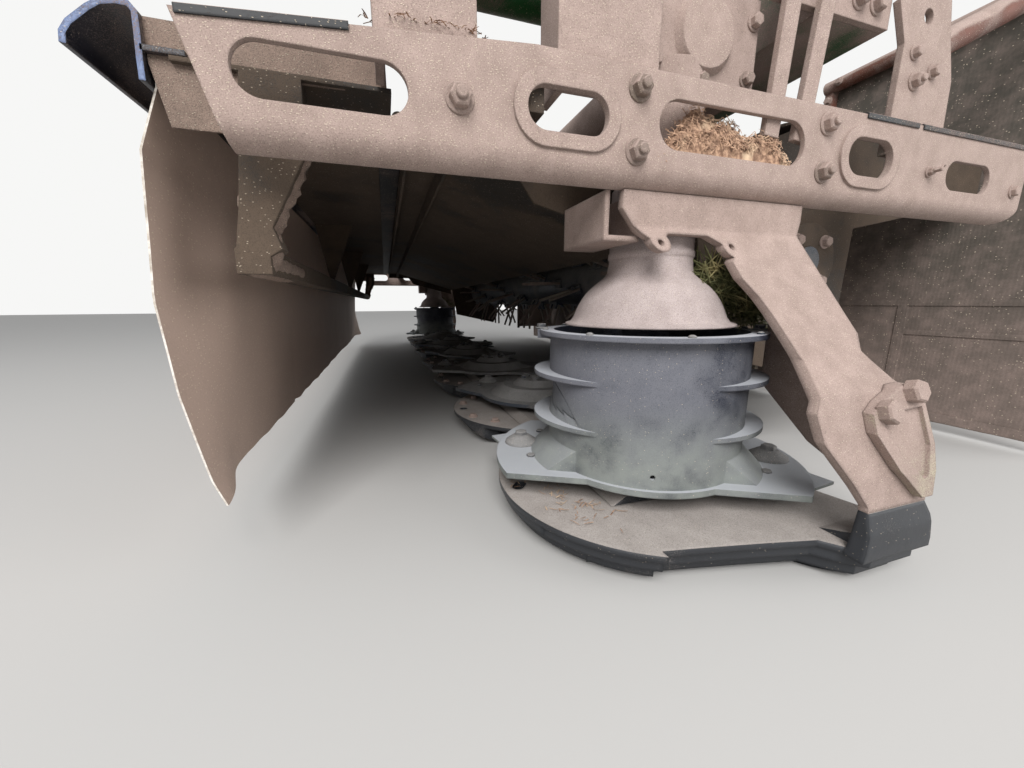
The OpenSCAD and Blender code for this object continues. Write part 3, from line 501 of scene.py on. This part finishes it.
def disc_bolts():
    cone = [(0, 0.026), (0.004, 0.025), (0.011, 0.015), (0.013, 0.012)]
    for i in range(1, 8):
        a = Acc()
        x = END_X - (i - 1) * DISC_PITCH
        turn = math.radians(DISC_ANGLE if i % 2 else 90 - DISC_ANGLE)

        def at(r, t, z):
            return P(x + r * math.cos(turn + t), r * math.sin(turn + t), z)

        for half in (0, math.pi):
            # knife bolt with its conical guard and two small screws
            a.turned(at(180, half, 79.8), UP, cone, 24)
            a.bolt(at(180, half, 92.5), UP, 0.017, 0.007, False, half)
            for dt in (-0.34, 0.34):
                a.bolt(at(166, half + dt, 80), UP, 0.011, 0.004, False, dt)
        if i in (1, 7):
            for k in range(8):
                t = k * math.pi / 4 + 0.2
                a.turned(at(143, t, 262), UP, [(0, 0.0045), (0.002, 0.0042), (0.0032, 0.002)], 12)
            for half in (0, math.pi):
                a.bolt(at(149, half, 262), UP, 0.012, 0.005, True, 0.2)
        else:
            for k in range(6):
                t = k * math.pi / 3
                a.bolt(at(34, t, 114), UP, 0.012, 0.006, True, k)
            a.turned(at(0, 0, 113.8), UP, [(0, 0.018), (0.006, 0.017), (0.008, 0.012)], 24)
        a.make("bolts_disc_%d" % i, "disc_steel", "disc_%d" % i)


disc_bolts()


def tine_feet():
    a = Acc()
    count = 15
    for i in range(count):
        for k in range(5):
            x = (i - 7) * TINE_PITCH + (k - 2) * TINE_PITCH / 5
            t = math.radians(k * 72 + i * 18)
            up = Vector((0, -math.sin(t), math.cos(t)))
            base = P(x, ROTOR_Y, ROTOR_Z)
            fwd = Vector((0, math.cos(t), math.sin(t)))
            c = base + up * 0.0745
            o = [c + Vector((dx, 0, 0)) + fwd * dy for dx, dy in
                 ((-0.036, -0.016), (0.036, -0.016), (0.036, 0.016), (-0.036, 0.016))]
            a.plate(o, up, 0.007)
            a.bolt(c + up * 0.007, up, 0.014, 0.007, True, k)
            a.plate([c + up * 0.006 + Vector((dx, 0, 0)) + fwd * dy for dx, dy in
                     ((-0.034, 0.007), (-0.012, 0.007), (-0.012, 0.013), (-0.034, 0.013))], up, 0.02)
            a.plate([c + up * 0.006 + Vector((dx, 0, 0)) + fwd * dy for dx, dy in
                     ((0.012, 0.007), (0.034, 0.007), (0.034, 0.013), (0.012, 0.013))], up, 0.02)
    a.make("tine_feet", "disc_steel", "rotor")


tine_feet()


def splined_shaft():
    a = Acc()
    prof = []
    tooth = ((-15, 0.0148), (-13.5, 0.0172), (-11, 0.0175), (0, 0.0175), (11, 0.0175), (13.5, 0.0172),
             (15, 0.0148), (30, 0.0146))
    for k in range(6):
        for dt, r in tooth:
            t = math.radians(k * 60 + dt)
            prof.append((r * math.cos(t), r * math.sin(t)))
    n = len(prof)
    vs, fs = [], []
    steps = [(150.3, 1), (190, 1), (191, 0.84), (198, 0.84), (199, 1), (224, 1), (226.3, 0.86)]
    for y, sc in steps:
        for px, pz in prof:
            # the groove is cut down to the root of the splines
            k = min(1.0, 0.0147 / math.hypot(px, pz)) if sc == 0.84 else sc
            vs.append(P(px * 1000 * k, y, INPUT_Z + pz * 1000 * k))
    for j in range(len(steps) - 1):
        for i in range(n):
            q = (i + 1) % n
            fs.append((j * n + i, (j + 1) * n + i, (j + 1) * n + q, j * n + q))
    fs.append(tuple(range((len(steps) - 1) * n, len(steps) * n))[::-1])
    a.add(vs, fs)
    collar = [(0, 0.0258), (0.018, 0.026), (0.020, 0.0245), (0.0201, 0.012)]
    a.turned(P(0, 130.3, INPUT_Z), (0, 1, 0), collar, 40)
    o = a.make("splined_input_shaft", "bare_steel", "input_shaft")
    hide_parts("input_shaft")


splined_shaft()


def springs():
    a = Acc()
    foot, head = Vector((340, 1060, 510)), Vector((60, 1060, 1050))
    rear = foot + (head - foot) * 0.7 - Vector((0, 44.3, 0))
    for s in (1, -1):
        p0, p1 = P(s * 340, 260, 810), P(s * rear.x, rear.y, rear.z)
        d = p1 - p0
        length = d.length
        d.normalize()
        u = d.orthogonal().normalized()
        w = d.cross(u)
        a.sweep([p0 + d * 0.012, p0 + d * (length - 0.012)], 0.007, 12)
        start = (length - 0.32) / 2
        pts = []
        coil_r = 0.028
        turns, steps = 17, 17 * 20
        for k in range(steps + 1):
            t = 2 * math.pi * turns * k / steps
            f = k / steps
            z = 0.008 + 0.304 * (f * 0.86 + 0.07 + 0.07 * math.tanh((f - 0.5) * 9))
            pts.append(p0 + d * (start + z) + (u * math.cos(t) + w * math.sin(t)) * coil_r)
        a.sweep(pts, 0.0068, 10)
        for z0, z1 in ((-0.004, 0.012), (0.308, 0.324)):
            q = p0 + d * (start + z0)
            a.turned(q, d, [(0, 0.018), (0.003, 0.027), (z1 - z0 - 0.003, 0.028), (z1 - z0, 0.024)], 28)
        pin = [(0, 0.012), (0.002, 0.014), (0.0254, 0.014), (0.0274, 0.012)]
        for p in (p0, p1):
            a.turned(p - Vector((0.0137, 0, 0)), (1, 0, 0), pin, 28)
        for f in (0.045, 0.93):
            a.turned(p0 + d * (length * f), d, [(0, 0.012), (0.012, 0.0125), (0.014, 0.0105)], 6)
    o = a.make("float_springs_coiled", "black_paint", "frame", smooth=True)
    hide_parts("float_springs")


springs()


# Edging, pins, hinges

def trims():
    a = Acc()

    def strip(s, pts):
        # a U-shaped rubber edging over the sheet's edge
        for (y0, z0), (y1, z1) in zip(pts, pts[1:]):
            x1, x0 = s * 1341.6, s * 1332.4
            vs = []
            prof = [(x0, -5), (x0, 1), (x0 + s * 2, 2.4), (x1 - s * 2, 2.4), (x1, 1), (x1, -5),
                    (x1 - s * 1.4, -5), (x1 - s * 1.4, 0.2), (x0 + s * 1.4, 0.2), (x0 + s * 1.4, -5)]
            n = len(prof)
            for y, z in ((y0, z0), (y1, z1)):
                vs += [P(x, y, z + h) for x, h in prof]
            fs = [(i, (i + 1) % n, (i + 1) % n + n, i + n) for i in range(n)]
            fs += [tuple(range(n))[::-1], tuple(range(n, 2 * n))]
            a.add(vs, fs)

    def side(s):
        strip(s, [(258, 536), (362, 536)])
        strip(s, [(372, 536), (500, 536), (632, 536)])
        strip(s, [(-484, 512.5), (-365, 522.5)])

    both(side)
    a.make("rubber_edging", "rubber_edge", "frame")
    # linch pins and rings of the hitch pins, stand pins
    b = Acc()
    hitch_y, hitch_z = 1126, 470

    def pins(s):
        c = P(s * 490, hitch_y, hitch_z)
        linch = [(0, 0.003), (0.001, 0.0045), (0.047, 0.0045), (0.048, 0.008), (0.052, 0.008)]
        b.turned(c + Vector((0, 0, -0.024)), UP, linch, 16)
        turns = [k * 2 * math.pi / 28 for k in range(29)]
        ring = [c + Vector((s * 0.004 * math.sin(t), 0.019 * math.sin(t), 0.024 - 0.019 * (1 - math.cos(t))))
                for t in turns]
        b.sweep([p + Vector((0, 0, 0.002)) for p in ring], 0.0022, 8)
        b.turned(P(s * 500, hitch_y, hitch_z), (s, 0, 0), [(0, 0.0139), (0.002, 0.0138), (0.0024, 0.011)], 28)
        # locking pin of the stand
        c = P(s * 260, 986, 540)
        bar = [(-0.045, 0), (0.05, 0), (0.056, 0.006), (0.056, 0.03)]
        b.sweep([c + Vector((s * x, 0, z)) for x, z in bar], 0.006, 12)

    both(pins)
    b.make("hitch_and_stand_pins", "bare_steel", "frame", smooth=True)
    # bolts of the guard: the curtain's clamp on the nose, and pairs ahead of the hinges
    g = Acc()
    for k in range(26):
        x = -1240 + k * 99.2
        g.bolt(P(x, -535.2, 492), (0, -1, 0), 0.011, 0.005, True, k)
    for x in (-HINGE_X, 0, HINGE_X):
        for dx in (-20, 20):
            g.bolt(P(x + dx, -420, 506), UP, 0.012, 0.006, True, dx)
    g.make("guard_bolts", "bolt_steel", "front_guard")


trims()


# Bells, nose channel, hinge seal

def bells():
    """Cast bells from rings of height and radius: flange, domed skirt with ribs, shoulder and neck."""
    rings = [(268.2, 111), (268.2, 113.2), (269.2, 114), (271.4, 113.4), (272.6, 110), (274, 105.4),
             (279, 101.6), (287, 98.4), (295, 95), (303, 90.6), (311, 85), (319, 77.5), (326, 69),
             (331, 62.6), (335, 58.4), (339, 56.2), (346, 55.2), (356, 54.8), (358, 56.4), (364, 56.4),
             (366, 54.8), (400, 54.9), (443.6, 54.9)]
    inner = [(443.6, 40), (345, 40), (326, 55), (303, 78), (287, 88), (274, 96), (268.2, 100)]
    ribs = (2.75, 4.32, 5.89, 1.18)  # angles of four shallow ribs down the skirt
    for s, side in ((1, "left"), (-1, "right")):
        a = Acc()
        n = 96
        vs, fs = [], []
        loop = rings + inner
        for z, r in loop:
            for i in range(n):
                t = 2 * math.pi * i / n
                off = [(t - c + math.pi) % (2 * math.pi) - math.pi for c in ribs]
                rib = sum(math.exp(-(angle * r / 2.4) ** 2) for angle in off)
                k = r + (1.3 * min(1.0, rib) if 272 < z < 352 and r > 54 and (z, r) in rings else 0.0)
                vs.append(P(s * (END_X + k * math.cos(t)), k * math.sin(t), z))
        for j in range(len(loop)):
            q = (j + 1) % len(loop)
            for i in range(n):
                u = (i + 1) % n
                fs.append((j * n + i, j * n + u, q * n + u, q * n + i))
        a.add(vs, fs)
        o = a.make("bell_casting_" + side, "bell_paint", "frame", smooth=True)
        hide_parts("bell_" + side)


bells()


def bent_strip(acc, path, t, x0, x1, edge=0):
    """A sheet bent along path (y, z), t thick, from x0 to x1; edge is the material of its cut ends."""
    n = 24
    left, right = [], []
    for i, (y, z) in enumerate(path):
        a = path[max(i - 1, 0)]
        b = path[min(i + 1, len(path) - 1)]
        d = Vector((b[0] - a[0], b[1] - a[1]))
        d.normalize()
        left.append((y - d.y * t / 2, z + d.x * t / 2))
        right.append((y + d.y * t / 2, z - d.x * t / 2))
    ring = left + right[::-1]
    k = len(ring)
    vs = [P(x0 + (x1 - x0) * j / n, y, z) for j in range(n + 1) for y, z in ring]
    fs = [(j * k + i, j * k + (i + 1) % k, (j + 1) * k + (i + 1) % k, (j + 1) * k + i)
          for j in range(n) for i in range(k)]
    m = len(path)
    for base, flip in ((0, True), (n * k, False)):
        for i in range(m - 1):
            f = (base + i, base + i + 1, base + k - 2 - i, base + k - 1 - i)
            fs.append(f[::-1] if flip else f)
    acc.add(vs, fs)
    ends = 2 * (m - 1)
    acc.mi[-ends:] = [edge] * ends


def crust(acc, s, path, axis, thick, seed):
    """Caked dirt around a path of (x, y, z, half width): an oval with lumps, thick along the axis."""
    n, steps = 20, 8
    pts = [[a + (b - a) * k / steps for a, b in zip(p, q)]
           for p, q in zip(path, path[1:]) for k in range(steps)]
    pts.append(list(path[-1]))
    u = Vector(axis)
    vs = []
    for i, (x, y, z, w) in enumerate(pts):
        d = Vector(pts[min(i + 1, len(pts) - 1)][:3]) - Vector(pts[max(i - 1, 0)][:3])
        v = d.cross(u).normalized()
        fade = 1.0 if 0 < i < len(pts) - 1 else 0.6
        for k in range(n):
            t = 2 * math.pi * k / n
            lump = noise.noise(Vector((i * 0.55, 1.4 * math.cos(t), 1.4 * math.sin(t) + seed)))
            c = Vector((x, y, z)) + u * (math.cos(t) * thick * fade * (1 + 0.06 * lump)) + \
                v * (math.sin(t) * w * fade * (1 + 0.22 * lump))
            vs.append(P(s * c.x, c.y, c.z))
    fs = [(i * n + k, i * n + (k + 1) % n, (i + 1) * n + (k + 1) % n, (i + 1) * n + k)
          for i in range(len(pts) - 1) for k in range(n)]
    fs += [tuple(range(n - 1, -1, -1)), tuple(range((len(pts) - 1) * n, len(pts) * n))]
    acc.add(vs, [f[::s] for f in fs])


def nose():
    a = Acc()
    channel = [(-581, 503), (-580, 511), (-575, 518.5), (-561, 531), (-553, 536.5), (-542, 539),
               (-534, 538.6), (-530.4, 534), (-531, 520), (-532.4, 500), (-533, 484)]
    # edge=1 gives the channel's cut ends the second material, a painted highlight
    bent_strip(a, channel, 4.6, -GUARD_HALF, GUARD_HALF, edge=1)
    bent_strip(a, [(-531, 508.8), (-518, 508.8), (-500, 508.8)], 4.4, -GUARD_HALF, GUARD_HALF)
    o = a.make("nose_sheet", ["nose_paint", "nose_painted_highlight"], "front_guard", smooth=True)
    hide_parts("nose_channel")
    # the guard panel's end flanges, and dirt caked on its brackets and the rail's ends
    e = Acc()
    outline = [(-529, 534), (-336, 534), (-336, 503), (-452, 500), (-452, 452), (-520, 452), (-529, 500)]
    arm = [(1269, -438, 482, 27), (1269, -442, 440, 29), (1269, -455, 400, 22), (1269, -464, 372, 17.5),
           (1269, -465, 352, 20), (1269, -472, 333, 15)]
    rail = [(1283, -470, 340, 14), (1230, -470, 340, 14.5), (1180, -470, 340, 13.5), (1120, -470, 340, 12.5)]
    for s in (1, -1):
        e.plate([P(s * 1276, y, z) for y, z in outline[::-s]], (s, 0, 0), 0.0025)
        crust(e, s, arm, (1, 0, 0), 14, 3.0)
        crust(e, s, rail, (0, 1, 0), 17, 8.0)
    e.make("guard_ends", "dirt", "front_guard", smooth=True)
    b = Acc()
    bent_strip(b, [(-347, 500.6), (-330, 500.4), (-317, 500.6)], 1.8, 2 - WALL_X, WALL_X - 2)
    b.make("hinge_seal", "rubber_edge", "frame")


nose()


# Curtains

def interp(z, table):
    return float(np.interp(z, [t[0] for t in table], [t[1] for t in table]))


FRONT_Y = -527  # top edge of the front curtain, ahead of the disc axes
FRONT_LEAN = 33.5  # how far its hem stands ahead of that
FRONT_HEM, FRONT_TOP = 84, 495.5
FRONT_HALF = 1272
EDGE = [(81, 32), (113, 19), (211, -5), (304, -18), (434, -16), (487, 0)]  # height and bulge of its free ends
REAR_Y = 853.8
REAR_HALF = 1400
REAR_HEM, REAR_MIDDLE, REAR_TOP = 20, 568, 878  # hem, lower edge of the cut-out and top edge
CENTRE_HALF = 860  # half the width of the cut-out over the conditioner


def front_y(x, z):
    """Place of the front curtain's sheet, ahead of the disc axes."""
    base = FRONT_Y - FRONT_LEAN * ((FRONT_TOP - z) / (FRONT_TOP - FRONT_HEM))
    f = max(0.0, min(1.0, (abs(x) - 1120) / 160))
    f = f * f * (3 - 2 * f)
    wave = 5.0 * noise.noise(Vector((x / 420, 3.1, z / 520)))
    wave += 2.2 * noise.noise(Vector((x / 90, 9.7, z / 160)))
    wave *= min(1.0, (FRONT_TOP - z) / 120)
    # a crease where the sheet was folded against the gusset
    crease = -7 * math.exp(-((abs(x) - 760 - (z - FRONT_HEM) * 0.18) / 16) ** 2) * max(0, 1 - z / 330)
    return base + f * interp(z, EDGE) + wave + crease


def front_curtain():
    nx, nz = 210, 40
    t = 0.9
    fs, mi = [], []
    xs = [-FRONT_HALF + 2 * FRONT_HALF * i / nx for i in range(nx + 1)]
    zs = [FRONT_HEM + (FRONT_TOP - FRONT_HEM) * k / nz for k in range(nz + 1)]
    a = Acc()
    grid = []
    for side in (-1, 1):
        rows = []
        for z in zs:
            row = []
            for x in xs:
                hem = 3.5 * noise.noise(Vector((x / 60, 1.3, 7.7))) * max(0, 1 - (z - FRONT_HEM) / 60)
                end = 1.6 * noise.noise(Vector((z / 160, 5.5, 2.0))) * max(0, (abs(x) - 1200) / 72)
                row.append(P(x + end * (1 if x > 0 else -1), front_y(x, z) + side * t, z + hem))
            rows.append(row)
        grid.append(rows)
    n = nx + 1
    count = n * (nz + 1)
    vs = [p for rows in grid for row in rows for p in row]
    for k in range(nz):
        for i in range(nx):
            q = k * n + i
            fs.append((q, q + 1, q + 1 + n, q + n))
            mi.append(0)
            fs.append((q + count, q + n + count, q + n + 1 + count, q + 1 + count))
            mi.append(0)
    rim = list(range(n)) + [k * n + nx for k in range(1, nz + 1)]
    rim += [nz * n + i for i in range(nx - 1, -1, -1)] + [k * n for k in range(nz - 1, 0, -1)]
    for i in range(len(rim)):
        p, q = rim[i], rim[(i + 1) % len(rim)]
        fs.append((p, p + count, q + count, q))
        mi.append(1)
    a.v, a.f, a.mi = [tuple(p) for p in vs], fs, mi
    o = a.make("front_curtain_sheet", ["curtain_rubber", "curtain_cut"], "front_guard",
               smooth=True)
    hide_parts("front_curtain")


front_curtain()


def rear_y(x, z):
    w = 5.0 * noise.noise(Vector((x / 330, 1.7, z / 900))) + 1.6 * noise.noise(Vector((x / 70, 4.2, z / 240)))
    top = REAR_TOP if abs(x) > CENTRE_HALF else REAR_MIDDLE
    w *= min(1.0, (top - z) / 130)
    return REAR_Y + w + 2.0 * max(0, 1 - z / 200) * math.sin(x / 46)


def rear_curtain():
    a = Acc()
    side = REAR_HALF - CENTRE_HALF
    xs = [-REAR_HALF + side * i / 36 for i in range(37)]
    xs += [-CENTRE_HALF + 2 * CENTRE_HALF * i / 100 for i in range(1, 100)]
    xs += [CENTRE_HALF + side * i / 36 for i in range(37)]
    zs = [REAR_HEM + (REAR_MIDDLE - REAR_HEM) * k / 38 for k in range(39)]
    zs += [REAR_MIDDLE + (REAR_TOP - REAR_MIDDLE) * k / 21 for k in range(1, 22)]
    index = {}
    vs = []

    def at(i, k):
        if (i, k) not in index:
            index[(i, k)] = len(vs)
            x, z = xs[i], zs[k]
            vs.append(P(x, rear_y(x, z), z + (2.5 * noise.noise(Vector((x / 80, 0, 1))) if k == 0 else 0)))
        return index[(i, k)]

    fs = []
    for k in range(len(zs) - 1):
        for i in range(len(xs) - 1):
            if zs[k] > REAR_MIDDLE - 1 and abs(xs[i] + xs[i + 1]) / 2 < CENTRE_HALF:
                continue
            fs.append((at(i, k), at(i + 1, k), at(i + 1, k + 1), at(i, k + 1)))
    a.add(vs, fs)
    o = a.make("rear_curtain_cloth", "curtain_cloth", "frame", smooth=True)
    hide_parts("rear_curtain")
    # hems and seams
    h = Acc()

    def band(pts, w, vertical=False, face=-1):
        v, f = [], []
        for x, z in pts:
            for d, off in ((-w / 2, 0.2), (-w / 2, 1.9), (0, 2.5), (w / 2, 1.9), (w / 2, 0.2)):
                xx, zz = (x + d, z) if vertical else (x, z + d)
                v.append(P(xx, rear_y(xx, zz) + face * off, zz))
        n = len(pts)
        for i in range(n - 1):
            f += [(i * 5 + j, i * 5 + j + 1, i * 5 + j + 6, i * 5 + j + 5) for j in range(4)]
        h.add(v, f)

    for s in (1, -1):
        band([(s * (870 + 530 * i / 50), 295) for i in range(51)], 14)
        band([(s * (1111 + 289 * i / 30), 226) for i in range(31)], 12)
        band([(s * 1111, 24 + 268 * k / 30) for k in range(31)], 20, True)
        band([(s * 1390, 24 + 850 * k / 60) for k in range(61)], 18, True)
        band([(s * (864 + 534 * i / 50), 866) for i in range(51)], 22)
    for face in (-1, 1):
        band([(-1398 + 2796 * i / 200, 32) for i in range(201)], 20, False, face)
    band([(-858 + 1716 * i / 120, 556) for i in range(121)], 22)
    hems = h.make("rear_curtain_hems", "curtain_cloth", "frame", smooth=True)


rear_curtain()


# Chaff and hay that lie on the machine

def strands(acc, rnd, points, count, length, width, lie=0.3):
    """Flat bits of straw scattered on points (place, normal, spread)."""
    for _ in range(count):
        p, n, sp = rnd.choice(points)
        n = Vector(n).normalized()
        u = n.orthogonal().normalized()
        w = n.cross(u)
        ang = rnd.uniform(0, 2 * math.pi)
        d = (u * math.cos(ang) + w * math.sin(ang) + n * rnd.uniform(-lie * 0.2, lie)).normalized()
        c = Vector(p) + u * rnd.uniform(-sp, sp) + w * rnd.uniform(-sp, sp) + n * rnd.uniform(0.0004, 0.003)
        q = d.cross(n).normalized() * (rnd.uniform(0.5, 1.0) * width / 2)
        half = d * (rnd.uniform(0.4, 1.0) * length / 2)
        bend = n * rnd.uniform(-0.1, 0.15) * length
        near, far = c - half, c + half
        acc.add([near - q, near + q, c + bend + q, c + bend - q, far - q * 0.6, far + q * 0.6],
                [(0, 1, 2, 3), (3, 2, 5, 4)])


def heap(acc, lo, hi, seed):
    """A lumpy mass between two corners, flat underneath. Gives back its points."""
    cells, rows = 26, 8
    lo, hi = Vector(lo), Vector(hi)
    size = hi - lo
    vs, fs = [], []
    for k in range(rows + 1):
        for i in range(cells + 1):
            u, v = i / cells, k / rows
            y = lo.y + size.y * u
            ang = v * math.pi
            lump = 0.72 + 0.5 * noise.noise(Vector((u * 5 + seed, v * 2.2, seed)))
            top = lump * min(1, 5 * min(u, 1 - u) + 0.12)
            wide = 0.9 + 0.2 * noise.noise(Vector((u * 9, v * 3, seed)))
            x = (lo.x + hi.x) / 2 - math.cos(ang) * size.x / 2 * wide
            z = lo.z + size.z * min(1.0, top) * (math.sin(ang) ** 0.6 if 0 < v < 1 else 0)
            vs.append(Vector((x, y, z)))
    n = cells + 1
    for k in range(rows):
        for i in range(cells):
            q = k * n + i
            fs.append((q, q + 1, q + 1 + n, q + n))
    acc.add(vs, fs)
    return vs


def chaff():
    rnd = random.Random(11)
    a = Acc()

    def side(s):
        lo, hi = P(s * 1300, -58, 452), P(s * 1337, 154, 518)
        pts = heap(a, (min(lo.x, hi.x), lo.y, lo.z), (max(lo.x, hi.x), hi.y, hi.z), 2.0 + s)
        near = [(p, (s, 0, 0.35), 0.006) for p in pts if abs(p.x) > 1.318 and p.z > 0.458]
        strands(a, rnd, near, 900, 0.014, 0.0016, 0.5)
        # bits on the beam's top edge, its lower flange and the shoe
        flat = [(P(s * 1325, y, 537), UP, 0.012) for y in range(-340, -250, 12)] * 3
        flat += [(P(s * 1316, y, 431), UP, 0.010) for y in range(-460, 620, 26)]
        strands(a, rnd, flat, 420, 0.012, 0.0015, 0.3)
        shoe = [(P(s * (END_X + 150 * math.cos(t)), 170 * math.sin(t), 46.5), UP, 0.03)
                for t in [k * 0.2 - 1.6 for k in range(16)] if 60 < 170 * abs(math.sin(t)) < 170]
        strands(a, rnd, [q for q in shoe if abs(q[0].y - ROW) > 0.1], 120, 0.016, 0.0014, 0.1)

    both(side)
    a.make("chaff_on_beams", "chaff", "frame")
    # a wad of hay caught between the bell and the leg
    g = Acc()
    for s in (1, -1):
        c = P(s * 1302, 104, 312)
        for _ in range(420 if s > 0 else 80):
            d = Vector((rnd.uniform(-0.4, 0.3) * s, rnd.uniform(-0.4, 1.0), rnd.uniform(-0.7, 0.4)))
            d.normalize()
            length = rnd.uniform(0.035, 0.085)
            u = rnd.uniform(-1, 1)
            shift = [rnd.uniform(-0.012, 0.014), rnd.uniform(-0.01, 0.01), rnd.uniform(-0.014, 0.014)]
            o = c + Vector((shift[0], u * 0.052 + shift[1], -u * 0.03 + shift[2]))
            bend = Vector((rnd.uniform(-1, 1), rnd.uniform(-1, 1), -0.6)) * 0.009
            g.sweep([o - d * length / 2, o + bend, o + d * length / 2], [0.0005, 0.0009, 0.0004], 4)
    g.make("hay_wad", "grass", "frame")


chaff()


# Stage, light and camera

def floor():
    m = bpy.data.materials.new("floor")
    m.use_nodes = True
    t = m.node_tree
    b = t.nodes["Principled BSDF"]
    b.inputs["Base Color"].default_value = (0.44, 0.43, 0.415, 1)
    b.inputs["Roughness"].default_value = 0.9
    me = bpy.data.meshes.new("floor")
    r, z = 14.0, -0.0005
    me.from_pydata([(-r, -r, z), (r, -r, z), (r, r, z), (-r, r, z)], [], [(0, 1, 2, 3)])
    me.materials.append(m)
    o = bpy.data.objects.new("floor", me)
    bpy.context.scene.collection.objects.link(o)


def studio():
    """A soft sky that the camera and shiny metal see as plain white."""
    w = bpy.data.worlds.new("studio")
    bpy.context.scene.world = w
    w.use_nodes = True
    nodes = w.node_tree.nodes
    link = w.node_tree.links.new
    sky = nodes["Background"]
    sky.inputs["Color"].default_value = (0.95, 0.97, 1.0, 1)
    sky.inputs["Strength"].default_value = 0.62
    white = nodes.new("ShaderNodeBackground")
    white.inputs["Color"].default_value = (0.93, 0.93, 0.92, 1)
    white.inputs["Strength"].default_value = 1.0
    rays = nodes.new("ShaderNodeLightPath").outputs
    seen = rays["Is Camera Ray"]
    for kind in ("Is Transmission Ray", "Is Glossy Ray"):
        most = nodes.new("ShaderNodeMath")
        most.operation = "MAXIMUM"
        link(seen, most.inputs[0])
        link(rays[kind], most.inputs[1])
        seen = most.outputs[0]
    mixer = nodes.new("ShaderNodeMixShader")
    for i, output in enumerate((seen, sky.outputs[0], white.outputs[0])):
        link(output, mixer.inputs[i])
    link(mixer.outputs[0], nodes["World Output"].inputs[0])


def lamp(name, at, to, size, energy):
    d = bpy.data.lights.new(name, "AREA")
    d.energy = energy
    d.size = size
    o = bpy.data.objects.new(name, d)
    bpy.context.scene.collection.objects.link(o)
    o.location = at
    o.rotation_euler = (Vector(to) - Vector(at)).to_track_quat("-Z", "Y").to_euler()


FOCAL_PX = 385  # focal length in the photo's pixels, fitted to its straight edges
PHOTO_WIDTH = 1024
SENSOR = 36


def camera():
    """The photo's viewing angle, as fitted."""
    cam = bpy.data.cameras.new("camera")
    cam.lens = SENSOR * FOCAL_PX / PHOTO_WIDTH
    cam.sensor_width = SENSOR
    cam.clip_start = 0.01
    cam.clip_end = 100
    o = bpy.data.objects.new("camera", cam)
    bpy.context.scene.collection.objects.link(o)
    # the fitted directions of the picture's right and of the view
    right = Vector((0.3072, 0.9517, -0.0046)).normalized()
    ahead = Vector((-0.9313, 0.2996, -0.2073)).normalized()
    up = right.cross(ahead).normalized()
    right = ahead.cross(up).normalized()
    rot = Matrix((right, up, -ahead)).transposed()
    o.matrix_world = Matrix.Translation((1.730, -0.352 + ROW, 0.300)) @ rot.to_4x4()
    bpy.context.scene.camera = o
    bpy.context.scene.view_settings.view_transform = "Standard"


floor()
studio()
lamp("key", (4.2, -1.6, 3.2), (1.0, -0.2, 0.3), 2.6, 260)
lamp("fill", (3.0, 2.6, 1.4), (1.0, 0.2, 0.4), 2.0, 50)
camera()
